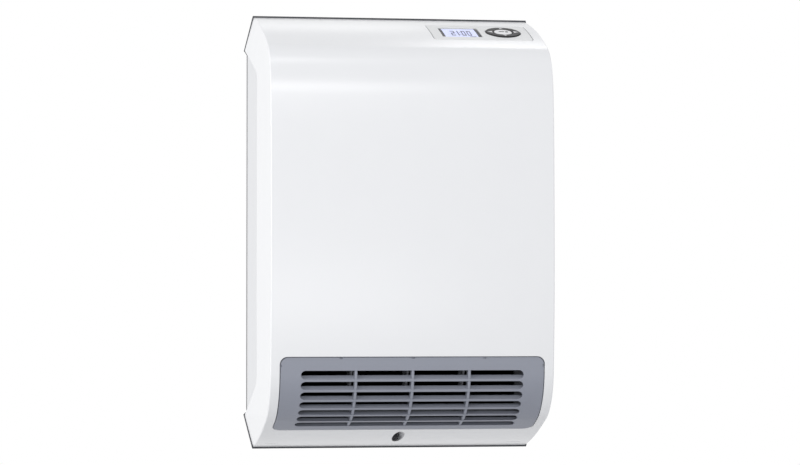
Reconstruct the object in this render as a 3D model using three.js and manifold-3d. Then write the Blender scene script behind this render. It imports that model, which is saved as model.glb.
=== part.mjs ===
// Bathroom wall fan heater, built from separate pieces in real millimetres.
//
// Axes: +X to the right as one faces the heater, -Y out of the wall, +Z up.
// Every shape below is drawn with three plain measures:
//   x       sideways from the middle of the heater
//   depth   out of the wall (world -Y)
//   height  above the cover's lower rear edge (world +Z)
// The finished group is then lowered so that the origin sits on the wall, in the
// middle of the wall bracket.

import * as THREE from 'three';
import { mergeVertices } from 'three/addons/utils/BufferGeometryUtils.js';
import Module from 'manifold-3d';

const wasm = await Module();
wasm.setup();

// ---------------------------------------------------------------- driving sizes

const COVER_HEIGHT = 399;
const CREASE_HALF = 129.5;        // half the front's width, between its two creases
const REAR_HALF = 137.8;          // half the width at the rear plane
const REAR_CORNER = 31;           // height over which the rear outline narrows at each end
const REAR_PLANE = 4;             // the cover's rear edge stands this far off the wall
const COVER_WALL = 2.6;
const GAP = 0.35;                 // clearance between neighbouring pieces
const BRACKET_HEIGHT = 290;       // middle of the wall bracket

// Side profile of the cover, from its lower rear edge round the front to the top.
// Each knot: depth, height, direction of travel in degrees, steps to the next knot.
const PROFILE = [
  [4, 0, 10.9, 5],
  [90.6, 26.5, 21.3, 8],
  [122.6, 68.6, 84.8, 4],
  [126.7, 231.9, 90.8, 3],
  [123.6, 319.6, 94.8, 8],
  [100.3, 366.3, 152.9, 6],
  [4, COVER_HEIGHT, 168.1, 0],
];
const PROFILE_HANDLE = 0.36;      // length of a curve's handles, per length of its chord

// The cut-back in the cover's sides, where the rear casing shows.
const RECESS = { front: 62.4, low: 29.1, lowSlope: 0.555, high: 367.7, highSlope: -0.432, round: 9 };

const PANEL = { rim: 1.5, thick: 2, front: 3.7, rimWidth: 2 };
const CASING = { halfRear: 135, halfFront: 133.4, lipHalf: 130.3, lipInner: 127.8, lip: 5, wall: 2.5 };

// Outlet grille: rows of slots, each given by its lower and upper edge.
const GRILLE = { half: 120.8, top: 85.2, rearDepth: 66.3, topRound: 7, lowRound: 9, thick: 2.4 };
const SLOT_ROWS = [
  [64.9, 72.7],
  [55.7, 62.8],
  [46.7, 53.4],
  [39.0, 44.6],
  [32.5, 37.2],
  [26.7, 31.1],
  [21.7, 25.3],
];
const SLOT = { half: 101.5, endRound: 4.2, barPitch: 51.7, barWidth: 3.3 };
const SLAT = { angle: 27, thick: 1.5, share: 0.46 };

// Control panel on the slanted top, right-hand side.
const CONTROL = { left: 27.2, right: 119.7, rear: 35, front: 83.2, round: 4, thick: 2.2 };
const DISPLAY = { left: 36.5, right: 73.6, rear: 45, front: 75.3 };
const KEY = { x: 95.7, depth: 60.3, height: 383.5, slope: 19.5 };
const RING = { outer: 16.2, inner: 8.8, gap: 0.5, pivot: -4.2 };

const TUNNEL = { height: 10.5, radius: 5.2, wall: 1.6, floor: 15.5 };

// Cross-flow fan and its motor share one axis along X.
const FAN = { depth: 64, height: 168, radius: 30, inner: 22.6, left: -110, right: 66, blades: 20 };
const SHAFT_RADIUS = 2;
const PLATE_RIGHT = 70.5;
const STATOR = { left: 86, right: 104, bore: 12.7 };
const MOTOR_SCREWS = [-13, 13];   // along the depth, from the motor's axis

const DUCT = { half: 103, wall: 2, throatLeft: -103, throatRight: 75, inset: 11.5 };
const HEATER = { low: 119, high: 133, rear: 43, front: 91 };
const FINS = 11;                  // gaps between fins along one heating row

// ---------------------------------------------------------------- finishes

const finish = (color, roughness, metalness = 0) => new THREE.MeshStandardMaterial({ color, roughness, metalness });

const FINISH = {
  coverWhite: finish(0xf1f2f4, 0.25),
  casingWhite: finish(0xe4e5e8, 0.45),
  panelGrey: finish(0x3b3d43, 0.6),
  grilleGrey: finish(0x8f949f, 0.5),
  controlGrey: finish(0xe7e7e6, 0.4),
  black: finish(0x17181a, 0.6),
  darkKey: finish(0x3a3b3e, 0.45),
  paleKey: finish(0xe9eaec, 0.3),
  display: finish(0xd5dafa, 0.3),
  clear: finish(0xf4f6ff, 0.05),
  rubber: finish(0x2a2a2c, 0.85),
  silicone: finish(0xb9bcc2, 0.8),
  board: finish(0x1f6a3a, 0.5),
  steel: finish(0xb9bcc0, 0.35, 1),
  darkSteel: finish(0x2c2c2e, 0.4, 1),
  lamination: finish(0x6f7276, 0.5, 1),
  aluminium: finish(0xc9ccd0, 0.4, 1),
  bronze: finish(0xa9793f, 0.5, 1),
  copper: finish(0xa85a2c, 0.4, 1),
  yellow: finish(0xd8b52c, 0.6),
  blue: finish(0x2d57a8, 0.5),
  cream: finish(0xe6dcc4, 0.6),
  red: finish(0xa8322b, 0.6),
};

// ---------------------------------------------------------------- solids

const radians = THREE.MathUtils.degToRad;

function solidOf(geometry, matrix = new THREE.Matrix4()) {
  const bare = geometry.clone();
  bare.deleteAttribute('normal');
  bare.deleteAttribute('uv');
  bare.applyMatrix4(matrix);
  const merged = mergeVertices(bare, 1e-4);
  const mesh = new wasm.Mesh({
    numProp: 3,
    vertProperties: new Float32Array(merged.attributes.position.array),
    triVerts: new Uint32Array(merged.index.array),
  });
  return new wasm.Manifold(mesh);
}

const basis = (x, y, z, at) => new THREE.Matrix4().makeBasis(x, y, z).setPosition(at);
const vec = (x, y, z) => new THREE.Vector3(x, y, z);

function extrude(shape, length, matrix, curveSegments = 3) {
  const options = { depth: length, bevelEnabled: false, curveSegments, steps: 1 };
  return solidOf(new THREE.ExtrudeGeometry(shape, options), matrix);
}

// A shape drawn as (depth, height), swept sideways from x0 to x1.
function alongX(shape, x0, x1, curveSegments) {
  const frame = basis(vec(0, -1, 0), vec(0, 0, 1), vec(-1, 0, 0), vec(x1, 0, 0));
  return extrude(shape, x1 - x0, frame, curveSegments);
}

// A shape drawn as (x, height), swept out of the wall from depth0 to depth1.
function alongDepth(shape, depth0, depth1, curveSegments) {
  const frame = basis(vec(1, 0, 0), vec(0, 0, 1), vec(0, -1, 0), vec(0, -depth0, 0));
  return extrude(shape, depth1 - depth0, frame, curveSegments);
}

// A shape drawn as (x, depth), swept from height0 up to height1.
function alongHeight(shape, height0, height1, curveSegments) {
  const frame = basis(vec(1, 0, 0), vec(0, -1, 0), vec(0, 0, -1), vec(0, 0, height1));
  return extrude(shape, height1 - height0, frame, curveSegments);
}

const outline = (points) => new THREE.Shape(points.map(([a, b]) => new THREE.Vector2(a, b)));

function rectangle(a0, b0, a1, b1) {
  return outline([[a0, b0], [a1, b0], [a1, b1], [a0, b1]]);
}

function circle(a, b, radius, sides = 24) {
  const points = [];
  for (let i = 0; i < sides; i += 1) {
    const turn = (2 * Math.PI * (i + 0.5)) / sides;
    points.push([a + radius * Math.cos(turn), b + radius * Math.sin(turn)]);
  }
  return outline(points);
}

// A rectangle whose lower and upper corners have radii of their own.
function roundedRectangle(a0, b0, a1, b1, lowRadius, highRadius) {
  const shape = new THREE.Shape();
  const quarter = Math.PI / 2;
  const corner = (a, b, radius, start) => {
    if (radius > 0) shape.absarc(a, b, radius, start, start + quarter);
    else shape.lineTo(a, b);
  };
  shape.moveTo(a0 + lowRadius, b0);
  corner(a1 - lowRadius, b0 + lowRadius, lowRadius, -quarter);
  corner(a1 - highRadius, b1 - highRadius, highRadius, 0);
  corner(a0 + highRadius, b1 - highRadius, highRadius, quarter);
  corner(a0 + lowRadius, b0 + lowRadius, lowRadius, 2 * quarter);
  return shape;
}

function box(x0, x1, depth0, depth1, height0, height1) {
  return alongX(rectangle(depth0, height0, depth1, height1), x0, x1);
}

const rodX = (depth, height, radius, x0, x1, sides) => alongX(circle(depth, height, radius, sides), x0, x1);
const rodDepth = (x, height, radius, d0, d1, sides) => alongDepth(circle(x, height, radius, sides), d0, d1);

function join(...solids) {
  return solids.reduce((sum, next) => sum.add(next));
}

function cut(solid, ...tools) {
  return tools.reduce((rest, tool) => rest.subtract(tool), solid);
}

// A profile of (radius, along) pairs turned about an axis that starts at `at`.
function turned(profile, at, axis, sides = 24) {
  const points = profile.map(([radius, along]) => new THREE.Vector2(radius, along));
  const lathe = new THREE.LatheGeometry(points, sides);
  const turn = new THREE.Quaternion().setFromUnitVectors(vec(0, 1, 0), axis);
  return solidOf(lathe, new THREE.Matrix4().makeRotationFromQuaternion(turn).setPosition(at));
}

// A wire or flat ribbon that follows points given as (x, depth, height).
function wire(points, width, thick, steps, sides = 6) {
  const path = new THREE.CatmullRomCurve3(points.map(([x, depth, height]) => vec(x, -depth, height)));
  const section = [];
  for (let i = 0; i < sides; i += 1) {
    const turn = (2 * Math.PI * (i + 0.5)) / sides;
    section.push([0.5 * thick * Math.cos(turn), 0.5 * width * Math.sin(turn)]);
  }
  const options = { steps, bevelEnabled: false, extrudePath: path };
  return solidOf(new THREE.ExtrudeGeometry(outline(section), options));
}

// ---------------------------------------------------------------- the cover's form

// Points of the side profile, moved inwards by `inset`, as {depth, height}.
function sideProfile(inset) {
  const points = [];
  const push = (depth, height, heading) => {
    points.push({ depth: depth - inset * Math.sin(heading), height: height + inset * Math.cos(heading) });
  };
  for (let i = 0; i < PROFILE.length - 1; i += 1) {
    const [d0, h0, turn0, steps] = PROFILE[i];
    const [d3, h3, turn3] = PROFILE[i + 1];
    const reach = PROFILE_HANDLE * Math.hypot(d3 - d0, h3 - h0);
    const start = vec(d0, h0, 0);
    const end = vec(d3, h3, 0);
    const leave = vec(Math.cos(radians(turn0)), Math.sin(radians(turn0)), 0).multiplyScalar(reach);
    const arrive = vec(Math.cos(radians(turn3)), Math.sin(radians(turn3)), 0).multiplyScalar(reach);
    const curve = new THREE.CubicBezierCurve3(start, start.clone().add(leave), end.clone().sub(arrive), end);
    for (let k = 0; k < steps; k += 1) {
      const at = curve.getPoint(k / steps);
      const heading = curve.getTangent(k / steps);
      push(at.x, at.y, Math.atan2(heading.y, heading.x));
    }
  }
  const [depth, height, heading] = PROFILE[PROFILE.length - 1];
  push(depth, height, radians(heading));
  return points;
}

// Half the width of the rear outline: narrow at the two ends, full between them.
function rearHalfAt(height) {
  const fromEnd = Math.min(height, COVER_HEIGHT - height);
  const share = THREE.MathUtils.clamp(fromEnd / REAR_CORNER, 0, 1);
  return CREASE_HALF + (REAR_HALF - CREASE_HALF) * share;
}

// The cover's outer form as one solid, or a like form `inset` inside it. Every level is
// a trapezoid: as wide as the creases in front and wider at the rear plane.
function coverForm(inset = 0) {
  const front = sideProfile(inset);
  const rear = Math.min(front[0].depth, front[front.length - 1].depth);
  front[0].depth = rear;
  front[front.length - 1].depth = rear;
  const levels = front.map(({ depth, height }) => {
    const wide = rearHalfAt(height) - inset;
    const slim = depth > rear ? CREASE_HALF - inset : wide;
    return [vec(-slim, -depth, height), vec(slim, -depth, height), vec(wide, -rear, height), vec(-wide, -rear, height)];
  });
  const corners = [];
  const triangle = (a, b, c) => {
    if (a.distanceTo(b) > 1e-6 && b.distanceTo(c) > 1e-6 && c.distanceTo(a) > 1e-6) corners.push(a, b, c);
  };
  for (let i = 0; i < levels.length - 1; i += 1) {
    for (let k = 0; k < 4; k += 1) {
      const next = (k + 1) % 4;
      triangle(levels[i][k], levels[i][next], levels[i + 1][next]);
      triangle(levels[i][k], levels[i + 1][next], levels[i + 1][k]);
    }
  }
  return solidOf(new THREE.BufferGeometry().setFromPoints(corners));
}

// A skin of the cover's form between two insets.
const coverSkin = (outer, inner) => cut(coverForm(outer), coverForm(inner));

// Outline of the side recess as (depth, height), grown outwards by `grow`.
function recessOutline(grow, rear) {
  const front = RECESS.front + grow;
  const low = (depth) => {
    const shift = grow * Math.hypot(1, RECESS.lowSlope);
    return RECESS.low + RECESS.lowSlope * (depth - REAR_PLANE) - shift;
  };
  const high = (depth) => {
    const shift = grow * Math.hypot(1, RECESS.highSlope);
    return RECESS.high + RECESS.highSlope * (depth - REAR_PLANE) + shift;
  };
  const turnIn = front - RECESS.round;
  const shape = new THREE.Shape();
  shape.moveTo(rear, low(rear));
  shape.lineTo(turnIn, low(turnIn));
  shape.quadraticCurveTo(front, low(front), front, low(front) + RECESS.round);
  shape.lineTo(front, high(front) - RECESS.round);
  shape.quadraticCurveTo(front, high(front), turnIn, high(turnIn));
  shape.lineTo(rear, high(rear));
  return shape;
}

// The space that the grille fills, seen square on from the front and from below.
function grilleSpace(grow) {
  const half = GRILLE.half + grow;
  const fromFront = roundedRectangle(-half, -20, half, GRILLE.top + grow, 0, GRILLE.topRound);
  const fromBelow = roundedRectangle(-half, GRILLE.rearDepth - grow, half, 160, GRILLE.lowRound, 0);
  return alongDepth(fromFront, 20, 160, 3).intersect(alongHeight(fromBelow, -20, 160, 3));
}

// The space of the control panel, seen from above.
function controlSpace(grow) {
  const { left, right, rear, front, round } = CONTROL;
  const shape = roundedRectangle(left - grow, rear - grow, right + grow, front + grow, 1, round);
  return alongHeight(shape, 340, 410, 2);
}

// ---------------------------------------------------------------- the key frame

// Origin in the middle of the keys, on the slanted top: u sideways, w up the slope,
// n square out of the panel.
const slope = radians(KEY.slope);
const keyU = vec(1, 0, 0);
const keyW = vec(0, Math.cos(slope), Math.sin(slope));
const keyN = vec(0, -Math.sin(slope), Math.cos(slope));
const keyFrame = basis(keyU, keyW, keyN, vec(KEY.x, -KEY.depth, KEY.height));

function alongKey(shape, n0, n1, curveSegments) {
  const frame = keyFrame.clone().multiply(new THREE.Matrix4().makeTranslation(0, 0, n0));
  return extrude(shape, n1 - n0, frame, curveSegments);
}

const keyRod = (u, w, radius, n0, n1, sides) => alongKey(circle(u, w, radius, sides), n0, n1);

// A rod that lies in the panel's plane, at level n, along u or along w.
function keyPin(direction, from, to, n, radius) {
  const along = direction === 'u' ? keyU : keyW;
  const at = vec(direction === 'u' ? from : 0, direction === 'u' ? 0 : from, n).applyMatrix4(keyFrame);
  return turned([[0, 0], [radius, 0], [radius, to - from], [0, to - from]], at, along, 8);
}

// ---------------------------------------------------------------- the group

const heater = new THREE.Group();
heater.position.z = -BRACKET_HEIGHT;

function addPart(name, solid, material) {
  const { vertProperties, triVerts } = solid.getMesh();
  const geometry = new THREE.BufferGeometry();
  geometry.setAttribute('position', new THREE.BufferAttribute(new Float32Array(vertProperties), 3));
  geometry.setIndex(new THREE.BufferAttribute(new Uint32Array(triVerts), 1));
  geometry.computeVertexNormals();
  const mesh = new THREE.Mesh(geometry, material);
  mesh.name = name;
  heater.add(mesh);
}

// ---------------------------------------------------------------- wall side

const HOOK = { x: 45, half: 6, low: 295, thick: 1.5, tip: 303, slotLow: 285.5 };
const CABLE = { x: -100, height: 212, hole: 10 };
const CLAMP = { peg: -112, screw: -88, height: 226 };
const CASING_SCREWS = [[-118, 60], [118, 60], [-118, 352], [118, 352]];
const BOARD = { left: -122, right: -8, low: 236, high: 340, rear: 17.6, thick: 1.6 };
const BOARD_SCREWS = [[-116, 242], [-14, 334]];
const BOARD_PEGS = [[-14, 242], [-116, 334]];
const SENSOR = { x: 112, depth: 30, low: 176 };

function wallBracket() {
  const plate = alongDepth(roundedRectangle(-80, 270, 80, 310, 4, 4), 0, 1.3);
  const hooks = [-HOOK.x, HOOK.x].map((x) => join(
    box(x - HOOK.half, x + HOOK.half, 1, 5.6, HOOK.low, HOOK.low + HOOK.thick),
    box(x - HOOK.half, x + HOOK.half, 4.1, 5.6, HOOK.low, HOOK.tip),
  ));
  const screwSlots = [-65, 65].map((x) => alongDepth(roundedRectangle(x - 5, 287.3, x + 5, 292.7, 2.6, 2.6), -1, 3));
  const levelHole = rodDepth(0, 303, 2.7, -1, 3, 16);
  return cut(join(plate, ...hooks), ...screwSlots, levelHole);
}

// Rear outline as (x, height): straight slants at the four ends, stepped in at the bands.
function panelOutline(grow, rim) {
  const half = [
    [CREASE_HALF + 0.2 - grow, -rim + grow],
    [REAR_HALF + 0.1 - grow, REAR_CORNER - 1],
    [CASING.halfRear + 0.2 - grow, REAR_CORNER + 2],
    [CASING.halfRear + 0.2 - grow, COVER_HEIGHT - REAR_CORNER - 4],
    [REAR_HALF + 0.1 - grow, COVER_HEIGHT - REAR_CORNER],
    [CREASE_HALF + 0.2 - grow, COVER_HEIGHT + rim - grow],
  ];
  const left = half.map(([x, height]) => [-x, height]).reverse();
  return outline([...half, ...left]);
}

function backPanel() {
  const { rim, thick, front, rimWidth } = PANEL;
  const block = alongDepth(panelOutline(0, rim), 0, front);
  const hollow = alongDepth(panelOutline(rimWidth, rim), -1, front - thick);
  const ribs = [-125, 125].map((x) => box(x - 1, x + 1, 0.3, front - 1, 6, 392));
  const hookSlots = [-HOOK.x, HOOK.x].map((x) => box(x - 7, x + 7, 0, 6, HOOK.slotLow, HOOK.low + HOOK.thick + 0.4));
  const screwPost = cut(rodDepth(0, TUNNEL.height, 4.2, front - 1, 11.5, 16), rodDepth(0, TUNNEL.height, 1.5, 2, 12, 12));
  const postTops = [...BOARD_SCREWS, ...BOARD_PEGS];
  const boardPosts = postTops.map(([x, height]) => rodDepth(x, height, 3.4, front - 1, BOARD.rear - 0.3, 10));
  const boardPegs = BOARD_PEGS.map(([x, height]) => rodDepth(x, height, 1.2, BOARD.rear - 1, BOARD.rear + 3, 8));
  const boardBores = BOARD_SCREWS.map(([x, height]) => rodDepth(x, height, 1.2, 8, 20, 8));
  const catches = [-84, 84].map((x) => box(x - 9, x + 9, front - 1, 9, 386.4, 388.4));
  const clampPosts = [CLAMP.peg, CLAMP.screw].map((x) => rodDepth(x, CLAMP.height, 3, front - 1, 9.7, 10));
  const clampPeg = rodDepth(CLAMP.peg, CLAMP.height, 1.2, 9, 12.2, 8);
  const clampBore = rodDepth(CLAMP.screw, CLAMP.height, 1.1, 5, 12, 8);
  const sensorPost = cut(
    box(SENSOR.x - 4, SENSOR.x + 4, front - 1, SENSOR.depth + 4, SENSOR.low + 2, SENSOR.low + 5),
    alongHeight(circle(SENSOR.x, SENSOR.depth, 1.5, 12), SENSOR.low, SENSOR.low + 10),
    box(SENSOR.x - 0.8, SENSOR.x + 0.8, SENSOR.depth, SENSOR.depth + 5, SENSOR.low, SENSOR.low + 10),
  );
  const cableHole = rodDepth(CABLE.x, CABLE.height, CABLE.hole, -1, 8, 24);
  const screwHoles = CASING_SCREWS.map(([x, height]) => rodDepth(x, height, 2, -1, 8, 12));
  const posts = join(screwPost, ...boardPosts, ...boardPegs, ...clampPosts, clampPeg, sensorPost);
  const body = join(cut(block, hollow), ...ribs, ...catches, posts);
  return cut(body, ...hookSlots, ...boardBores, clampBore, cableHole, ...screwHoles);
}

// ---------------------------------------------------------------- rear casing

const INLET = { rear: 12, front: 52, low: 196, pitch: 9.5, height: 5, count: 14 };

function rearCasing() {
  const { halfRear, halfFront, lipHalf, lipInner, lip, wall } = CASING;
  const rear = REAR_PLANE + 0.05;
  const full = recessOutline(lip, rear);
  const bandSpace = alongX(recessOutline(-0.45, rear), -150, 150);
  const bandPlan = outline([
    [halfRear, rear], [halfFront, RECESS.front], [lipHalf - 0.2, RECESS.front], [lipHalf - 0.2, rear],
  ]);
  const rightBand = alongHeight(bandPlan, 0, 400).intersect(bandSpace);
  const lipRing = cut(alongX(full, lipInner, lipHalf), alongX(recessOutline(-6, -1), lipInner - 1, lipHalf + 1));
  const rightSide = join(rightBand, lipRing);
  const leftSide = rightSide.mirror([1, 0, 0]);
  const shelves = cut(
    alongX(full, -lipHalf, lipHalf),
    alongX(recessOutline(lip - wall, -1), -140, 140),
    box(-124, 124, RECESS.front - 8, 80, 40, 372),
  );
  const ties = [-1, 1].map((side) => {
    const inner = side > 0 ? lipInner - 15 : -lipHalf - 1;
    return [60, 352].map((height) => box(inner, inner + 18.5, rear, 9, height - 7, height + 7));
  }).flat();
  const inlets = [];
  for (let i = 0; i < INLET.count; i += 1) {
    const low = INLET.low + i * INLET.pitch;
    const high = low + INLET.height;
    const slot = outline([
      [INLET.rear + 1.6, low], [INLET.front - 1.6, low], [INLET.front, low + 1.6], [INLET.front, high - 1.6],
      [INLET.front - 1.6, high], [INLET.rear + 1.6, high], [INLET.rear, high - 1.6], [INLET.rear, low + 1.6],
    ]);
    inlets.push(alongX(slot, lipInner - 4, 150));
  }
  const pilots = CASING_SCREWS.map(([x, height]) => rodDepth(x, height, 1.5, 0, 12, 12));
  return cut(join(rightSide, leftSide, shelves, ...ties), ...inlets, ...pilots);
}

// ---------------------------------------------------------------- front cover

function frontCover() {
  const shell = coverSkin(0, COVER_WALL);
  const recess = alongX(recessOutline(0, -1), -150, 150, 4);
  const { height, radius, wall, floor } = TUNNEL;
  const tube = rodDepth(0, height, radius + wall, floor - 3.4, 80, 24).intersect(coverForm(0.5));
  const bore = rodDepth(0, height, radius, floor, 90, 24);
  const screwHole = rodDepth(0, height, 2.1, 5, 30, 12);
  const hooks = [-84, 84].map((x) => join(
    box(x - 7, x + 7, 5, 8.2, 389, 396),
    box(x - 7, x + 7, 9.6, 12.4, 383, 396),
    box(x - 7, x + 7, 5, 12.4, 389, 391),
  ).intersect(coverForm(1)));
  const body = join(cut(shell, recess), tube, ...hooks);
  return cut(body, bore, screwHole, grilleSpace(0), controlSpace(GAP));
}

// ---------------------------------------------------------------- outlet grille

function slotSpace([low, high]) {
  const shape = new THREE.Shape();
  const middle = (low + high) / 2;
  const half = (high - low) / 2;
  const { half: reach, endRound } = SLOT;
  shape.absellipse(reach - endRound, middle, endRound, half, -Math.PI / 2, Math.PI / 2);
  shape.absellipse(-reach + endRound, middle, endRound, half, Math.PI / 2, (3 * Math.PI) / 2);
  return alongDepth(shape, 50, 140, 2);
}

// Depth of the cover's outer surface at a height on its lower front.
function surfaceDepth(height) {
  const points = sideProfile(0);
  const i = points.findIndex((point) => point.height > height);
  const [a, b] = [points[i - 1], points[i]];
  return a.depth + ((b.depth - a.depth) * (height - a.height)) / (b.height - a.height);
}

function slat([low, high]) {
  const rise = SLAT.share * (high - low);
  const run = rise / Math.tan(radians(SLAT.angle));
  const front = surfaceDepth(low) - 0.7;
  const shape = outline([
    [front, low - 0.12], [front, low - SLAT.thick], [front - 1, low - SLAT.thick],
    [front - run - 1, low + rise - SLAT.thick], [front - run, low + rise],
  ]);
  return alongX(shape, -SLOT.half - 1, SLOT.half + 1);
}

function outletGrille() {
  const plate = coverSkin(0.2, GRILLE.thick + 0.2).intersect(grilleSpace(-GAP));
  const flangeSkin = coverSkin(COVER_WALL + GAP, COVER_WALL + GAP + 1.5);
  const flange = cut(flangeSkin.intersect(grilleSpace(4)), grilleSpace(-6));
  const frameSkin = coverSkin(1.5, COVER_WALL + GAP + 1.5);
  const frame = cut(frameSkin.intersect(grilleSpace(-GAP)), grilleSpace(-6));
  const bars = [-1, 0, 1].map((i) => box(
    i * SLOT.barPitch - SLOT.barWidth / 2, i * SLOT.barPitch + SLOT.barWidth / 2, 50, 150, 10, 84,
  ));
  const barSpace = join(...bars);
  const rows = SLOT_ROWS.map((row) => cut(slotSpace(row), barSpace));
  const ribs = coverSkin(0.9, 8).intersect(cut(barSpace, box(-150, 150, 40, 82, 0, 90))).intersect(grilleSpace(-9));
  const slats = join(...SLOT_ROWS.map(slat)).intersect(coverForm(0.4));
  const notches = [-65.5, 0, 65.5].map((x) => box(x - 1.1, x + 1.1, 110, 140, 84.1, 90));
  const sideNotches = [-1, 1].map((side) => [40, 77].map((height) => {
    const edge = side * GRILLE.half;
    return box(Math.min(edge, edge - side), Math.max(edge, edge - side), 60, 140, height - 1, height + 1);
  })).flat();
  return cut(join(cut(plate, ...rows), flange, frame, ribs, slats), ...notches, ...sideNotches);
}

// ---------------------------------------------------------------- control panel and keys

// Pegs (u, w) under the panel that the control board is staked on.
const BOARD_STAKES = [[-63, -17], [-63, 14], [20.5, -17], [20.5, 14]];

function displaySpace(grow) {
  const { left, right, rear, front } = DISPLAY;
  return alongHeight(rectangle(left - grow, rear - grow, right + grow, front + grow), 340, 410);
}

const { outer: RING_OUTER, inner: RING_INNER, gap: RING_GAP, pivot: PIVOT } = RING;

function controlPanel() {
  const plate = coverSkin(0.15, CONTROL.thick).intersect(controlSpace(0));
  const flangeSkin = coverSkin(COVER_WALL + GAP, COVER_WALL + GAP + 1.2);
  const flange = cut(flangeSkin.intersect(controlSpace(3)), controlSpace(-4));
  const frame = cut(coverSkin(1, COVER_WALL + GAP + 1.2).intersect(controlSpace(0)), controlSpace(-4));
  const sockets = [-1, 1].map((side) => alongKey(
    rectangle(Math.min(side * 17.4, side * 20.4), -2, Math.max(side * 17.4, side * 20.4), 2), -5.8, -1,
  ));
  const stakes = BOARD_STAKES.map(([u, w]) => join(
    keyRod(u, w, 2, -7.9, -3.4, 8), keyRod(u, w, 1.1, -10.6, -7.5, 6), keyRod(u, w, 1.9, -11.4, -10.2, 8),
  ));
  const body = join(plate, flange, frame, ...sockets, ...stakes);
  const ringHole = keyRod(0, 0, RING_OUTER + RING_GAP, -12, 6, 40);
  return cut(body, displaySpace(0), ringHole, keyPin('u', -21, 21, PIVOT, 1.2));
}

function displayWindow() {
  return coverSkin(0.45, 1.35).intersect(displaySpace(-GAP));
}

const DISPLAY_FRAME = { left: -58.6, right: -22.8, low: -15.2, high: 15.2 };

function displayFrame() {
  const { left, right, low, high } = DISPLAY_FRAME;
  const block = alongKey(rectangle(left, low, right, high), -7.2, -1.9);
  const window = alongKey(rectangle(left + 3, low + 1, right - 3, high - 1), -5.6, 0);
  return cut(block, window);
}

function displayGlass() {
  const { left, right, low, high } = DISPLAY_FRAME;
  return alongKey(rectangle(left + 3.3, low + 1.3, right - 3.3, high - 1.3), -5.3, -2.6);
}

function navRing() {
  const profile = [
    [RING_INNER, -2.4], [RING_OUTER, -2.4], [RING_OUTER, 0.2], [RING_OUTER - 0.7, 0.75],
    [RING_INNER + 0.7, 0.55], [RING_INNER, 0.1], [RING_INNER, -2.4],
  ];
  const ring = turned(profile, vec(KEY.x, -KEY.depth, KEY.height), keyN, 40);
  const lugs = [-1, 1].map((side) => alongKey(
    rectangle(-1.9, Math.min(side * 13.1, side * 15.5), 1.9, Math.max(side * 13.1, side * 15.5)), -5.5, -2,
  ));
  return cut(join(ring, ...lugs), keyPin('w', -16, 16, PIVOT, 1.2));
}

function ringCarrier() {
  const disc = cut(keyRod(0, 0, 12.6, PIVOT - 0.9, PIVOT + 0.9, 24), keyRod(0, 0, 9.8, -8, 0, 24));
  const pins = join(keyPin('u', -19.6, 19.6, PIVOT, 0.85), keyPin('w', -15.2, 15.2, PIVOT, 0.85));
  return join(disc, cut(pins, keyRod(0, 0, 11, -8, 0, 24)));
}

function centreKey() {
  const profile = [
    [0, -5.6], [2, -5.6], [2, -2.2], [RING_INNER - RING_GAP, -2.2], [RING_INNER - RING_GAP, 0.3],
    [RING_INNER - RING_GAP - 0.5, 0.75], [0, 0.95],
  ];
  return turned(profile, vec(KEY.x, -KEY.depth, KEY.height), keyN, 32);
}

function switchMat() {
  const sheet = alongKey(roundedRectangle(-18, -15.6, 18, 15.6, 3, 3), -7.9, -7.1);
  const domes = [[0, 0], [12, 0], [-12, 0], [0, 12], [0, -12]].map(([u, w]) => {
    const top = u === 0 && w === 0 ? -6.8 : -6.6;
    return keyRod(u, w, 2.6, -7.5, top, 8);
  });
  return join(sheet, ...domes);
}

function controlBoard() {
  const board = alongKey(rectangle(-65.5, -19.5, 23, 16.5), -9.8, -8.2);
  const chip = alongKey(rectangle(-45, -8, -33, 4), -12, -9.5);
  const plug = alongKey(rectangle(-12, -18, 4, -12), -15, -9.5);
  const holes = BOARD_STAKES.map(([u, w]) => keyRod(u, w, 1.5, -11, -7, 10));
  return cut(join(board, chip, plug), ...holes);
}

// ---------------------------------------------------------------- screws across the depth

function panScrew(x, height, headDepth, headThick, headRadius, shankRadius, tip) {
  const head = rodDepth(x, height, headRadius, headDepth, headDepth + headThick, 14);
  const [near, far] = tip < headDepth ? [tip, headDepth + 0.2] : [headDepth + headThick - 0.2, tip];
  return join(head, rodDepth(x, height, shankRadius, near, far, 7));
}

function coverScrew() {
  const { height, floor } = TUNNEL;
  const screw = panScrew(0, height, floor + 0.3, 2.6, 4.3, 1.3, 5.2);
  const slots = join(
    box(-2.6, 2.6, floor + 1.6, floor + 4, height - 0.5, height + 0.5),
    box(-0.5, 0.5, floor + 1.6, floor + 4, height - 2.6, height + 2.6),
  );
  return cut(screw, slots);
}

// ---------------------------------------------------------------- fan

const polar = (radius, turn) => [FAN.depth + radius * Math.cos(turn), FAN.height + radius * Math.sin(turn)];

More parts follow.
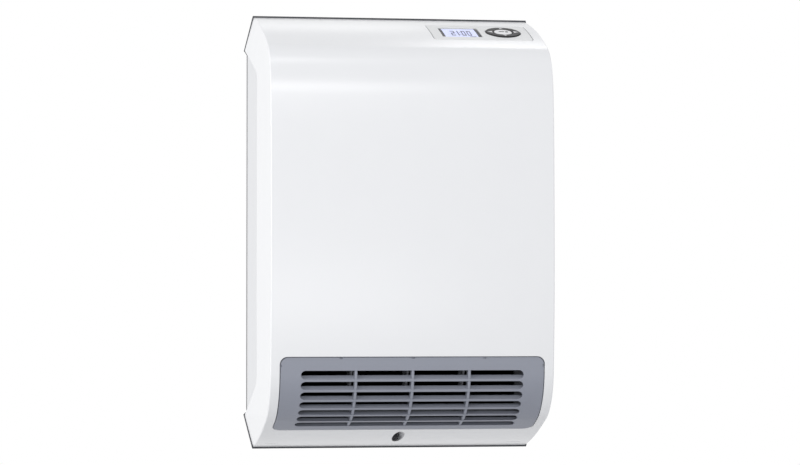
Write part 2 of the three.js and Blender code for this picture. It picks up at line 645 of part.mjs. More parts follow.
function fanWheel() {
  const { depth, height, radius, inner, left, right, blades } = FAN;
  const pieces = [];
  for (let i = 0; i < blades; i += 1) {
    const turn = (2 * Math.PI * i) / blades;
    const thick = 0.035;
    const edge = [[inner, 0], [(inner + radius) / 2, 0.05], [radius, 0.2]];
    const front = edge.map(([r, lead]) => polar(r, turn + lead + thick / 2));
    const back = edge.map(([r, lead]) => polar(r, turn + lead - thick / 2)).reverse();
    pieces.push(alongX(outline([...front, ...back]), left + 0.8, right - 0.8));
  }
  const middleX = (left + right) / 2;
  const ring = cut(rodX(depth, height, radius + 0.4, middleX - 0.8, middleX + 0.8, 36),
    rodX(depth, height, inner - 1.5, middleX - 2, middleX + 2, 32));
  pieces.push(ring);
  for (const [x0, x1] of [[left, left + 1.8], [right - 1.8, right]]) {
    pieces.push(rodX(depth, height, radius + 0.4, x0, x1, 36));
  }
  pieces.push(rodX(depth, height, 6, left, left + 12, 16));
  pieces.push(rodX(depth, height, 6, right - 14, right, 16));
  const bores = join(
    rodX(depth, height, SHAFT_RADIUS + 0.3, left - 1, left + 8, 16),
    rodX(depth, height, SHAFT_RADIUS + 0.3, right - 10, right + 1, 16),
  );
  return cut(join(...pieces), bores);
}

const axisRod = (radius, x0, x1, sides) => rodX(FAN.depth, FAN.height, radius, x0, x1, sides);
const axisTube = (outer, inner, x0, x1, sides) => cut(axisRod(outer, x0, x1, sides), axisRod(inner, x0 - 1, x1 + 1, sides));

// Curved wall behind the wheel: it starts close above the wheel and opens towards the duct.
function fanScroll() {
  const outerSide = [];
  const innerSide = [];
  for (let i = 0; i <= 14; i += 1) {
    const share = i / 14;
    const turn = radians(108 + 118 * share);
    const radius = FAN.radius + 3 + 12 * share;
    innerSide.push(polar(radius, turn));
    outerSide.push(polar(radius + 2, turn));
  }
  const wall = alongX(outline([...innerSide, ...outerSide.reverse()]), -112.2, 70.1);
  const feet = [-80, 40].map((x) => box(x - 6, x + 6, 4.1, 26, 164, 168));
  return join(wall, cut(join(...feet), axisRod(FAN.radius + 9, -120, 80, 32)));
}

// Lip in front of the wheel that splits the blown air from the drawn air.
function fanTongue() {
  const fin = outline([
    [94.9, 156.4], [95, 150.6], [93.4, 143], [92.1, 134], [94, 134], [95.3, 142.6], [97, 150], [96.8, 157],
  ]);
  return alongX(fin, -104.8, 70.1);
}

// Pressed plate that closes one end of the fan and carries its bearing or its motor.
function endPlate(x0, hole, posts) {
  const x1 = x0 + 2;
  const shape = outline([[5.2, 136], [97, 136], [99, 160], [88, 196], [40, 208], [5.2, 208]]);
  const plate = alongX(shape, x0, x1);
  const side = x0 < 0 ? -1 : 1;
  const flangeX = side < 0 ? [x0 - 10, x0 + 1] : [x1 - 1, x1 + 10];
  const flanges = [[146, 160], [184, 198]].map(([low, high]) => box(flangeX[0], flangeX[1], 4.1, 5.8, low, high));
  const web = join(...flanges.map((flange, i) => box(x0, x1, 4.1, 6, [146, 184][i], [160, 198][i])));
  const body = join(plate, web, ...flanges, ...posts);
  return cut(body, axisRod(hole, x0 - 1, x1 + 1, 24));
}

function motorPosts() {
  return MOTOR_SCREWS.map((offset) => cut(
    rodX(FAN.depth + offset, FAN.height, 3.2, PLATE_RIGHT + 1, 75.7, 12),
    rodX(FAN.depth + offset, FAN.height, 1.6, PLATE_RIGHT + 2.2, 80, 10),
  ));
}

// ---------------------------------------------------------------- motor

function motorStator() {
  const { left, right, bore } = STATOR;
  const block = box(left, right, FAN.depth - 27, FAN.depth + 27, FAN.height - 24, FAN.height + 64);
  const window = box(left - 1, right + 1, FAN.depth - 15, FAN.depth + 15, FAN.height + 36, FAN.height + 48);
  const slot = box(left - 1, right + 1, FAN.depth - 1.2, FAN.depth + 1.2, FAN.height + 10, FAN.height + 30);
  return cut(block, window, slot, axisRod(bore, left - 1, right + 1, 36));
}

function motorCoil() {
  const { left, right } = STATOR;
  const high = FAN.height + 64;
  const body = box(left - 7, right + 7, FAN.depth - 14, FAN.depth + 14, FAN.height + 37.5, high + 10);
  return cut(body, box(left - 0.4, right + 0.4, FAN.depth - 20, FAN.depth + 20, FAN.height + 47.6, high + 0.4));
}

// Strap that bridges the stator's bore and carries a sintered bush.
function motorStrap(barX, legX) {
  const [x0, x1] = barX;
  const span = 20;
  const bar = box(x0, x1, FAN.depth - span, FAN.depth + span, FAN.height - 7, FAN.height + 7);
  const legs = [-1, 1].map((side) => {
    const edge = FAN.depth + side * span;
    const [near, far] = [Math.min(edge, edge - side * 2.5), Math.max(edge, edge - side * 2.5)];
    return box(Math.min(x0, legX), Math.max(x1, legX), near, far, FAN.height - 7, FAN.height + 7);
  });
  const screwHoles = MOTOR_SCREWS.map((offset) => rodX(FAN.depth + offset, FAN.height, 1.9, x0 - 1, x1 + 1, 10));
  return cut(join(bar, ...legs), axisRod(5.2, x0 - 1, x1 + 1, 20), ...screwHoles);
}

function motorScrew(offset) {
  const depth = FAN.depth + offset;
  return join(
    rodX(depth, FAN.height, 2.9, 78.5, 80.4, 12),
    rodX(depth, FAN.height, 1.4, 72.9, 78.7, 10),
  );
}

function coolingImpeller() {
  const hub = axisRod(5, 115.4, 121.4, 20);
  const disc = axisRod(17, 115.4, 116.6, 28);
  const blades = [];
  for (let i = 0; i < 7; i += 1) {
    const turn = (2 * Math.PI * i) / 7;
    const corners = [[4, -0.15], [16.6, -0.05], [16.6, 0.03], [4, 0.15]].map(([r, lead]) => polar(r, turn + lead));
    blades.push(alongX(outline(corners), 116, 121));
  }
  return cut(join(hub, disc, ...blades), axisRod(SHAFT_RADIUS + 0.3, 110, 125, 16));
}

// ---------------------------------------------------------------- duct and heater

function outletDuct() {
  const { half, wall, throatLeft, throatRight, inset } = DUCT;
  const outside = outline([
    [42 - wall, 117], [71.5 - wall, 57], [74 - wall, 20], [118, 20], [118, 84 + wall], [112, 87.5], [92 + wall, 112],
    [92 + wall, 135], [42 - wall, 135],
  ]);
  const chamber = outline([[52.5, 96], [71.5, 57], [74, 10], [140, 10], [140, 84], [111, 84], [104, 96]]);
  const throat = outline([[42, 117], [53.5, 94], [105, 94], [92, 112], [92, 140], [42, 140]]);
  const body = cut(
    alongX(outside, -half - wall, half + wall),
    alongX(chamber, -half, half),
    alongX(throat, throatLeft, throatRight),
    box(throatRight + wall, half + wall + 1, 30, 110, 98, 140),
    box(throatRight - 2, throatRight + wall + 1, 59, 69, 125.5, 140),
  );
  const webShape = outline([[50, 100], [88, 112], [97, 74], [84, 55], [72.5, 52]]);
  const webs = [-1, 0, 1].map((i) => alongX(webShape, i * SLOT.barPitch - 0.9, i * SLOT.barPitch + 0.9));
  const ledges = [[41, 45], [89, 93]].map(([d0, d1]) => box(throatLeft - 1, throatRight + 1, d0, d1, 116.4, 118.6));
  const feet = [-60, 60].map((x) => join(
    box(x - 6, x + 6, 4.1, 62, 104, 108),
    box(x - 6, x + 6, 4.1, 6.1, 94, 108),
  ));
  const cleared = cut(join(...feet), alongX(throat, -half, half), alongX(chamber, -half, half));
  const trimmed = join(body, ...webs, ...ledges).intersect(coverForm(inset));
  return join(trimmed, cleared, fanTongue());
}

function heaterFrame() {
  const { low, high, rear, front } = HEATER;
  const [left, right] = [DUCT.throatLeft + 0.4, DUCT.throatRight - 0.4];
  const block = box(left, right, rear - 0.6, front + 0.6, low, high);
  const windows = [0, 1, 2].map((i) => {
    const start = rear + 2.4 + i * 14.9;
    return box(left + 5, right - 5, start, start + 13.4, low - 1, high + 1);
  });
  const socket = box(right - 1, right + 4.6, 60.5, 67.5, 127, 132);
  return cut(join(block, socket), ...windows);
}

// One finned row: a flat tube that holds the ceramic stones, with fins on both sides.
function heatingRow(index) {
  const { low, high, rear } = HEATER;
  const left = DUCT.throatLeft + 5.8;
  const right = DUCT.throatRight - 5.8;
  const start = rear + 2.8 + index * 14.9;
  const body = box(left, right, start, start + 12.6, low + 0.6, high - 0.6);
  const pitch = (right - left) / FINS;
  const slots = [];
  for (let i = 0; i < FINS; i += 1) {
    const x0 = left + i * pitch + 1.1;
    const x1 = left + (i + 1) * pitch - 1.1;
    slots.push(box(x0, x1, start + 1, start + 4.9, 100, 150));
    slots.push(box(x0, x1, start + 7.7, start + 11.6, 100, 150));
  }
  return cut(body, ...slots);
}

function thermalCutout() {
  const at = vec(-48, -94.4, 126);
  const body = turned([[0, 0], [6, 0], [6, 1.4], [7.8, 1.4], [7.8, 5.4], [0, 5.4]], at, vec(0, -1, 0), 20);
  const tabs = [-4, 4].map((x) => box(-48 + x - 1.6, -48 + x + 1.6, 99, 106, 125.6, 126.4));
  return join(body, ...tabs);
}

function thermalFuse() {
  return join(rodX(97.4, 126, 2.2, -18, -6, 14), rodX(97.4, 126, 0.6, -30, 8, 8));
}

// ---------------------------------------------------------------- power board

const BOARD_FRONT = BOARD.rear + BOARD.thick;

function powerBoard() {
  const { left, right, low, high, rear } = BOARD;
  const board = box(left, right, rear, BOARD_FRONT, low, high);
  const holes = [...BOARD_SCREWS, ...BOARD_PEGS].map(([x, height]) => rodDepth(x, height, 1.6, 10, 30, 10));
  return cut(board, ...holes);
}

function powerBoardScrew([x, height]) {
  return panScrew(x, height, BOARD_FRONT + 0.3, 1.8, 2.6, 0.9, 9);
}

const onBoard = (x0, x1, deep, low, high) => box(x0, x1, BOARD_FRONT + 0.3, BOARD_FRONT + deep, low, high);

function transformer() {
  const core = onBoard(-106, -70, 26, 286, 316);
  const winding = onBoard(-100, -76, 31, 280, 322);
  return join(core, winding);
}

function terminalBlock() {
  const body = onBoard(-118, -84, 15, 247, 259);
  const wells = [-112.5, -101, -89.5].map((x) => rodDepth(x, 253, 2.6, BOARD_FRONT + 8, 60, 10));
  const mouths = [-112.5, -101, -89.5].map((x) => box(x - 2.6, x + 2.6, BOARD_FRONT + 2, BOARD_FRONT + 6, 240, 250));
  return cut(body, ...wells, ...mouths);
}

function cableGrommet() {
  const profile = [
    [4.6, -2.4], [12.2, -2.4], [12.2, -0.4], [9.6, -0.4], [9.6, 2.4], [12.2, 2.4], [11.4, 4.6], [7.4, 6], [4.6, 6],
    [4.6, -2.4],
  ];
  return turned(profile, vec(CABLE.x, -1.5, CABLE.height), vec(0, -1, 0), 20).intersect(
    box(-140, -60, 0.2, 20, 190, 240),
  );
}

function cableClamp() {
  const bar = box(-117, -83, 10.1, 12.6, 222, 230);
  const arch = alongHeight(circle(-100, 10.4, 7, 20), 222, 230).intersect(box(-110, -90, 10.1, 30, 220, 232));
  const channel = alongHeight(circle(-100, 10.4, 4.6, 16), 215, 240);
  const holes = [CLAMP.peg, CLAMP.screw].map((x) => rodDepth(x, CLAMP.height, 1.5, 5, 20, 10));
  return cut(join(bar, arch), channel, ...holes);
}

// ---------------------------------------------------------------- sensor and wires

function roomSensor() {
  const { x, depth, low } = SENSOR;
  const stem = alongHeight(circle(x, depth, 1.1, 10), low, low + 14);
  const beadProfile = [[0, 0], [1.8, 0.6], [2.4, 2.4], [1.8, 4.6], [0, 5.4]];
  return join(stem, turned(beadProfile, vec(x, -depth, low + 13), vec(0, 0, 1), 14));
}

// Routes inside the heater as (x, depth, height).
const MOTOR_ROUTE = [[75, 60, 236], [56, 50, 250], [20, 34, 262], [-6, 26, 270], [-16, 21, 278]];
const HEATER_ROUTE = [
  [81.3, 64, 129], [85.4, 54, 128], [91, 44.5, 138.5], [93, 32, 142], [92, 20, 170], [84, 12, 212], [50, 12, 220],
  [10, 17, 224], [-16, 22, 231], [-28, 22, 244],
];
const RIBBON_ROUTE = [[91.7, 69, 362.8], [84, 67, 350], [56, 60, 334], [24, 42, 322], [-4, 26, 317], [-17, 21.4, 315]];

// ---------------------------------------------------------------- assembly

addPart('wall_bracket', wallBracket(), FINISH.steel);
addPart('back_panel', backPanel(), FINISH.panelGrey);
addPart('rear_casing', rearCasing(), FINISH.casingWhite);
CASING_SCREWS.forEach(([x, height], i) => {
  addPart(`casing_screw_${i + 1}`, panScrew(x, height, 0.2, 1.3, 3.4, 1.2, 8.6), FINISH.steel);
});
addPart('front_cover', frontCover(), FINISH.coverWhite);
addPart('cover_screw', coverScrew(), FINISH.darkSteel);
addPart('outlet_grille', outletGrille(), FINISH.grilleGrey);

addPart('control_panel', controlPanel(), FINISH.controlGrey);
addPart('display_window', displayWindow(), FINISH.clear);
addPart('display_frame', displayFrame(), FINISH.black);
addPart('display_glass', displayGlass(), FINISH.display);
addPart('nav_ring', navRing(), FINISH.darkKey);
addPart('ring_carrier', ringCarrier(), FINISH.black);
addPart('centre_key', centreKey(), FINISH.paleKey);
addPart('switch_mat', switchMat(), FINISH.silicone);
addPart('control_board', controlBoard(), FINISH.board);

addPart('fan_wheel', fanWheel(), FINISH.black);
addPart('wheel_pin', axisRod(SHAFT_RADIUS, -121, -103, 14), FINISH.steel);
addPart('wheel_bush', axisTube(4.8, SHAFT_RADIUS + 0.15, -117, -110.6, 20), FINISH.bronze);
addPart('bush_rubber', axisTube(8.8, 5.1, -116.6, -111.4, 20), FINISH.rubber);
addPart('fan_plate_left', endPlate(-114.8, 9.1, []), FINISH.steel);
addPart('fan_plate_right', endPlate(PLATE_RIGHT, 8, motorPosts()), FINISH.steel);
addPart('fan_scroll', fanScroll(), FINISH.black);

addPart('motor_shaft', axisRod(SHAFT_RADIUS, 57, 122.6, 14), FINISH.steel);
addPart('motor_rotor', axisTube(12, SHAFT_RADIUS + 0.3, 86.6, 103.4, 28), FINISH.lamination);
addPart('motor_stator', motorStator(), FINISH.lamination);
addPart('motor_coil', motorCoil(), FINISH.copper);
addPart('motor_strap_front', motorStrap([76, 78.2], 85.7), FINISH.steel);
addPart('motor_strap_rear', motorStrap([111.6, 113.8], 104.3), FINISH.steel);
addPart('motor_bush_front', axisTube(4.9, SHAFT_RADIUS + 0.15, 75, 80, 20), FINISH.bronze);
addPart('motor_bush_rear', axisTube(4.9, SHAFT_RADIUS + 0.15, 110, 114.6, 20), FINISH.bronze);
MOTOR_SCREWS.forEach((offset, i) => {
  addPart(`motor_screw_${i + 1}`, motorScrew(offset), FINISH.steel);
});
addPart('cooling_impeller', coolingImpeller(), FINISH.black);

addPart('outlet_duct', outletDuct(), FINISH.black);
addPart('heater_frame', heaterFrame(), FINISH.cream);
[0, 1, 2].forEach((index) => {
  addPart(`heating_row_${index + 1}`, heatingRow(index), FINISH.aluminium);
});
addPart('thermal_cutout', thermalCutout(), FINISH.cream);
addPart('thermal_fuse', thermalFuse(), FINISH.aluminium);

addPart('power_board', powerBoard(), FINISH.board);
BOARD_SCREWS.forEach((at, i) => {
  addPart(`board_screw_${i + 1}`, powerBoardScrew(at), FINISH.steel);
});
addPart('heat_relay_1', onBoard(-62, -43, 16, 250, 266), FINISH.black);
addPart('heat_relay_2', onBoard(-38, -19, 16, 250, 266), FINISH.black);
addPart('transformer', transformer(), FINISH.yellow);
addPart('filter_capacitor', onBoard(-56, -38, 14, 296, 304), FINISH.blue);
addPart('terminal_block', terminalBlock(), FINISH.cream);
addPart('cable_grommet', cableGrommet(), FINISH.rubber);
addPart('cable_clamp', cableClamp(), FINISH.black);
addPart('clamp_screw', panScrew(CLAMP.screw, CLAMP.height, 12.9, 1.6, 2.5, 0.8, 6), FINISH.steel);

addPart('room_sensor', roomSensor(), FINISH.black);
addPart('motor_lead', wire(MOTOR_ROUTE, 3, 3, 16), FINISH.red);
addPart('heater_lead', wire(HEATER_ROUTE, 3.4, 3.4, 34), FINISH.red);
addPart('display_ribbon', wire(RIBBON_ROUTE, 6, 1.2, 18), FINISH.silicone);

export default heater;
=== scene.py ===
"""Looks of the bathroom wall fan heater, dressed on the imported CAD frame.

Sizes are in millimetres unless a comment says otherwise, and are drawn with the part's three
measures: x sideways from the middle, depth out of the wall (world -Y) and height above the
cover's lower rear edge. An inset is how far a surface lies inside the cover's outer form.
"""

import math
from contextlib import contextmanager

import bmesh
import bpy
import numpy as np
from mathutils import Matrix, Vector


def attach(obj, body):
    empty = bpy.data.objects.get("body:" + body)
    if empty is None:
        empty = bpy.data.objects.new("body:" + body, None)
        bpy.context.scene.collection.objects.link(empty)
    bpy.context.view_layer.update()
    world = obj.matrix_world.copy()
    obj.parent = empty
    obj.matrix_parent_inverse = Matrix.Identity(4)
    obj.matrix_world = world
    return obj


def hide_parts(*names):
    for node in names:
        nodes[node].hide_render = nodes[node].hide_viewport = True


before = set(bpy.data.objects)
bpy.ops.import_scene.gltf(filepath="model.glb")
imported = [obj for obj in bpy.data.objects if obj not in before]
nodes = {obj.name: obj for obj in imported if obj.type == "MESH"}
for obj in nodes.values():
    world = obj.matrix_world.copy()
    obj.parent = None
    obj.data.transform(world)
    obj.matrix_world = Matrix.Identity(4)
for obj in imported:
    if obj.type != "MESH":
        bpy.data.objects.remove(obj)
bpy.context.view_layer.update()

# ------------------------------------------------------------------ driving sizes

MM = 0.001
ORIGIN_HEIGHT = 290.0  # the frame's origin is this far above the cover's lower edge
COVER_HEIGHT = 399.0
COVER_WALL = 2.6
CREASE_HALF = 129.5  # half the width between the creases where the front turns into the sides
CREASE_ROUND = 1.3
INNER_CREASE = 0.6  # the crease's radius on inner faces
CREASE_STEPS = 4
REAR_HALF = 137.8
REAR_CORNER = 31.0  # the rear edge widens over this height at the top and the bottom
REAR_PLANE = 4.0
REAR_EXTRA = 2.0  # forms run this far behind the rear plane before they are cut there
LEAST_LEAN = 0.02  # the sides lean out by at least this much
GAP = 0.35
GRILLE_GAP = 0.7

# Side profile knots: depth, height, heading in degrees.
PROFILE = [
    (4, 0, 10.9),
    (90.6, 26.5, 21.3),
    (122.6, 68.6, 84.8),
    (126.7, 231.9, 90.8),
    (123.6, 319.6, 94.8),
    (100.3, 366.3, 152.9),
    (4, COVER_HEIGHT, 168.1),
]
PROFILE_HANDLE = 0.36  # length of the curves' handles, as a share of the chord
LONGEST_STEP = 7.0
WIDEST_TURN = 3.0  # degrees between neighbouring stations
CLEAR = 0.55  # stations keep this far from the edges of the grille's slots
CLEAR_FROM = 70.0  # depth from which they do
SHIFTS = sorted((i / 20 for i in range(-9, 10)), key=abs)  # shares of a step, smallest first

RECESS = dict(rear=-1.0, front=62.4, round=9.0, steps=8)
RECESS_LOW = dict(height=29.1, slope=0.555)  # its shelves: height at the rear plane, and slope
RECESS_HIGH = dict(height=367.7, slope=-0.432)
TUNNEL = dict(height=10.5, radius=5.2, wall=1.6, floor=15.5, floor_thick=3.4, inset=0.5)
TUNNEL_ENDS = dict(tube=80.0, bore=90.0)  # depths past the cover's outside
TUNNEL_SCREW = dict(radius=2.1, depths=(5.0, 30.0))
NOTCH = dict(x=114.0, wide=10.0, depths=(20.2, 22.8), heights=(-5.0, 10.0), deep=0.5)

GRILLE = dict(half=120.8, top=85.2, rear=66.3, top_round=7.0, low_round=9.0, thick=2.4, inset=0.2)
SLOT_ROWS = [
    (64.9, 72.7),
    (55.7, 62.8),
    (46.7, 53.4),
    (39.0, 44.6),
    (32.5, 37.2),
    (26.7, 31.1),
    (21.7, 25.3),
]
SLOT = dict(half=101.5, end_round=4.2, end_steps=12)
TICK = dict(low=76.0, high=78.0, wide=2.6, deep=1.9)  # small notches round the grille's edge
TOP_TICKS = (-65.5, 0.0, 65.5)
BAR = dict(pitch=51.7, width=2.5, corner=0.7, corner_steps=3)
BAR_INSETS = (0.55, 8.0)  # of the bars' front and rear
BAR_FROM = 74.0  # depth from which the bars run, between these heights
BAR_HEIGHTS = (18.0, 82.0)
SLAT = dict(angle=41.0, thick=1.5, back=0.7, drop=0.12, tail=1.0, overlap=1.0, inset=0.45)
SLAT_NOSE = dict(turn=150.0, steps=8)
SLAT_SHARES = (0.46, 0.46, 0.5, 0.56, 0.6, 0.64, 0.7)  # how much of each row its louvre closes

CONTROL = dict(left=27.2, right=119.7, rear=35.0, front=83.2, rear_round=1.0, front_round=4.0)
CONTROL_PLATE = (0.15, 2.2)  # insets of its outer and inner face
DISPLAY = dict(left=36.5, right=73.6, rear=45.0, front=75.3, rear_round=0.6, front_round=0.6)
DISPLAY_BAND = 3.1  # dark strips left and right of the lit face
DISPLAY_MARGIN = 0.9  # and in front of and behind it
LAYERS = dict(pane=(0.45, 0.8), digits=(0.88, 0.96), mask=(0.92, 1.32), face=(0.95, 1.3))  # insets
SEGMENTS = {"2": "abged", "1": "bc", "0": "abcdef"}
DIGITS = dict(lefts=(46.4, 50.0, 56.5, 61.6), rear=54.0, front=69.0, wide=3.7, stroke=0.95)
DIGIT_STRETCH = 2.2  # strokes across x are this much thicker, for the low view along the top
DOTS = dict(wide=0.6, deep=1.4, rears=(58.2, 64.6))
DASH = (62.5, 71.6, 68.5, 73.0)  # x, depth, x, depth

# The key frame stands on the slanted top. Its heights n are measured out of the panel.
KEY = dict(x=95.7, depth=60.3, height=383.5, slope=19.5)
KEY_SIDES = 96
CORNER_TURNS = (0.4, 0.8, 1.2, 1.57)  # radians round the keys' outer corners
RING = dict(outer=16.2, inner=8.8, gap=0.5, under=-2.4, shoulder=0.1, corner=(0.7, 0.6))
RING_TOP = dict(crown=0.72, land=0.8, land_height=0.56)
CAP = dict(under=-2.2, shoulder=0.2, corner=(0.6, 0.5), half_way=0.86, crown=0.94)
STEM = dict(radius=2.0, end=-5.6)
ARROWS = [(2.3, 0), (1.5, 90), (2.3, 180), (1.5, 270)]  # size, direction in degrees
ARROW_WING = 1.2  # half the width, as a share of the size
CENTRE_MARKS = [(-3.9, -1.2, 1.0, 1.2), (1.9, -2.2, 4.5, 1.4)]  # a dash and a square
RING_MARK_HEIGHTS = (0.5, 0.79)
CENTRE_MARK_HEIGHTS = (0.6, 0.97)

HAIR = 0.04  # the finer curve stays this far inside the solids' facets
SEAM_EASE = 0.12  # extra room at the control panel's seam, from its rounded corners
SINK = 0.06  # a shell that shares a wall with its neighbour stands this far inside it
LAP = 0.1  # a rim and its flange overlap by this much
EDGES = dict(cover=0.22, grille=0.24, control=0.18, pane=0.12)  # radii of moulded edges
NODE_EDGES = dict(back_panel=0.3, wall_bracket=0.2, outlet_duct=0.3)
EDGE_SEGMENTS = 2

# Spans of the tools that cut and trim. They reach past the walls that they work on.
ACROSS = (-150.0, 150.0)
FULL_HEIGHT = (-20.0, 420.0)
BEHIND = (-10.0, REAR_PLANE)
TOP_HEIGHTS = (340.0, 410.0)  # through the slanted top
LOW_DEPTHS = (20.0, 160.0)  # round the grille
LOW_HEIGHTS = (-20.0, 160.0)
SLOT_DEPTHS = (50.0, 140.0)
TOP_TICK_DEPTHS = (110.0, 140.0)
SIDE_TICK_DEPTHS = (60.0, 140.0)
TICK_PAST = 5.0
KEY_WELL = (-12.0, 6.0)  # along the key frame's n

CORNER_STEPS = 10
TUBE_SIDES = 64
SCREW_SIDES = 24

# Limits for cleaning, rounding and shading.
WELD = 0.002  # points closer than this become one
NODE_WELD = 0.001
FLAT = 0.05  # degrees: faces that bend less are merged
SLIVER = 0.01  # a face thinner than this is left over from cutting
SAME_SKIN = 0.05  # faces whose insets differ by less belong to one skin
SKIN_HALF = 130.0  # x that the skins stay within
TRUE_EDGE = 40.0  # degrees: a sharper bend is an edge, and is rounded
SMOOTH_BELOW = 32.0  # degrees: a gentler bend is shaded smooth
FLUSH = 0.04  # a corner this near a skin takes the direction of the form
SAME_WAY = 0.6  # cosine between its face and the form


# ------------------------------------------------------------------ places


def place(x, depth, height):
    return Vector((x, -depth, height - ORIGIN_HEIGHT)) * MM


def along_x(depth, height, x):
    return place(x, depth, height)


def along_depth(x, height, depth):
    return place(x, depth, height)


def along_height(x, depth, height):
    return place(x, depth, height)


KEY_SLOPE = math.radians(KEY["slope"])
KEY_W = Vector((0, math.cos(KEY_SLOPE), math.sin(KEY_SLOPE)))
KEY_N = Vector((0, -math.sin(KEY_SLOPE), math.cos(KEY_SLOPE)))


def along_key(u, w, n):
    """A point of the key frame: u sideways, w up the slant, n out of the panel."""
    centre = place(KEY["x"], KEY["depth"], KEY["height"])
    return centre + (Vector((u, 0, 0)) + KEY_W * w + KEY_N * n) * MM


# ------------------------------------------------------------------ outlines


def rectangle(a0, b0, a1, b1):
    return [(a0, b0), (a1, b0), (a1, b1), (a0, b1)]


def arc(a, b, radius_a, radius_b, start, turn, steps):
    """Points round an elliptic arc; start and turn are in degrees."""
    points = []
    for i in range(steps + 1):
        angle = math.radians(start + turn * i / steps)
        points.append((a + radius_a * math.cos(angle), b + radius_b * math.sin(angle)))
    return points


def disc(a, b, radius, sides):
    return arc(a, b, radius, radius, 0, 360 * (1 - 1 / sides), sides - 1)


def rounded(a0, b0, a1, b1, low_round, high_round):
    """A rectangle whose lower and upper corners have radii of their own."""
    corners = [
        (a1 - low_round, b0 + low_round, low_round, -90),
        (a1 - high_round, b1 - high_round, high_round, 0),
        (a0 + high_round, b1 - high_round, high_round, 90),
        (a0 + low_round, b0 + low_round, low_round, 180),
    ]
    points = []
    for a, b, radius, start in corners:
        points += arc(a, b, radius, radius, start, 90, CORNER_STEPS) if radius else [(a, b)]
    return points


def quadratic(a, b, c, t):
    s = 1 - t
    return tuple(s * s * p + 2 * s * t * q + t * t * r for p, q, r in zip(a, b, c))


# ------------------------------------------------------------------ meshes


@contextmanager
def editing(mesh):
    """The mesh as a bmesh, written back when the block ends."""
    work = bmesh.new()
    work.from_mesh(mesh)
    yield work
    work.to_mesh(mesh)
    work.free()


def add_object(name, data):
    obj = bpy.data.objects.new(name, data)
    bpy.context.scene.collection.objects.link(obj)
    return obj


def solid(name, points, faces):
    mesh = bpy.data.meshes.new(name)
    mesh.from_pydata([tuple(p) for p in points], [], faces)
    with editing(mesh) as work:
        bmesh.ops.recalc_face_normals(work, faces=work.faces)
    return add_object(name, mesh)


def loft(name, loops):
    """A solid through closed loops of points, all of one length."""
    count = len(loops[0])
    points = [point for loop in loops for point in loop]
    faces = [tuple(range(count)), tuple(range(len(points) - count, len(points)))]
    for row in range(len(loops) - 1):
        for k in range(count):
            a, b = row * count + k, row * count + (k + 1) % count
            faces.append((a, b, b + count, a + count))
    return solid(name, points, faces)


def prism(outline, span, axis):
    """A solid whose outline of pairs is swept over a span of an axis."""
    return loft("tool", [[axis(a, b, end) for a, b in outline] for end in span])


def box(across, depths, heights):
    return prism(rectangle(depths[0], heights[0], depths[1], heights[1]), across, along_x)


def lathe(name, profile):
    """A profile of (radius, n) pairs turned about the key frame's n axis."""
    points, faces, count = [], [], len(profile)
    for i in range(KEY_SIDES):
        angle = 2 * math.pi * i / KEY_SIDES
        points += [along_key(r * math.cos(angle), r * math.sin(angle), n) for r, n in profile]
        start, after = i * count, (i + 1) % KEY_SIDES * count
        for k in range(count):
            ahead = (k + 1) % count
            faces.append((start + k, start + ahead, after + ahead, after + k))
    obj = solid(name, points, faces)
    with editing(obj.data) as work:
        bmesh.ops.remove_doubles(work, verts=work.verts, dist=WELD * MM)
        wires = [edge for edge in work.edges if edge.is_wire]
        bmesh.ops.delete(work, geom=wires, context="EDGES")
        bmesh.ops.recalc_face_normals(work, faces=work.faces)
    return obj


def settle(obj):
    """Applies the object's modifiers to its mesh."""
    bpy.context.view_layer.update()
    graph = bpy.context.evaluated_depsgraph_get()
    mesh = bpy.data.meshes.new_from_object(obj.evaluated_get(graph))
    obj.modifiers.clear()
    old = obj.data
    obj.data = mesh
    bpy.data.meshes.remove(old)
    return obj


def combine(operation, obj, *tools):
    for tool in tools:
        change = obj.modifiers.new("combine", "BOOLEAN")
        change.operation = operation
        change.solver = "MANIFOLD"
        change.object = tool
        settle(obj)
        bpy.data.meshes.remove(tool.data)
    return obj


def cut(obj, *tools):
    return combine("DIFFERENCE", obj, *tools)


def join(obj, *others):
    return combine("UNION", obj, *others)


def common(obj, *tools):
    return combine("INTERSECT", obj, *tools)


def merge(obj, *others):
    """Puts other closed shells into the same mesh; they sink into it where they meet it."""
    with editing(obj.data) as work:
        for other in others:
            work.from_mesh(other.data)
            bpy.data.meshes.remove(other.data)
    return obj


# ------------------------------------------------------------------ the cover's form


def bezier(a, b, c, d, t):
    s = 1 - t
    return a * s**3 + b * 3 * s * s * t + c * 3 * s * t * t + d * t**3


def bezier_slope(a, b, c, d, t):
    s = 1 - t
    return (b - a) * 3 * s * s + (c - b) * 6 * s * t + (d - c) * 3 * t * t


def heading(degrees):
    return Vector((math.cos(math.radians(degrees)), math.sin(math.radians(degrees))))


def profile_curves():
    """The curves between the profile's knots, each with its number of steps."""
    curves = []
    for (d0, h0, turn0), (d1, h1, turn1) in zip(PROFILE, PROFILE[1:]):
        start, end = Vector((d0, h0)), Vector((d1, h1))
        chord = (end - start).length
        reach = PROFILE_HANDLE * chord
        steps = math.ceil(max(chord / LONGEST_STEP, abs(turn1 - turn0) / WIDEST_TURN))
        handles = (start + heading(turn0) * reach, end - heading(turn1) * reach)
        curves.append(((start, *handles, end), steps))
    return curves


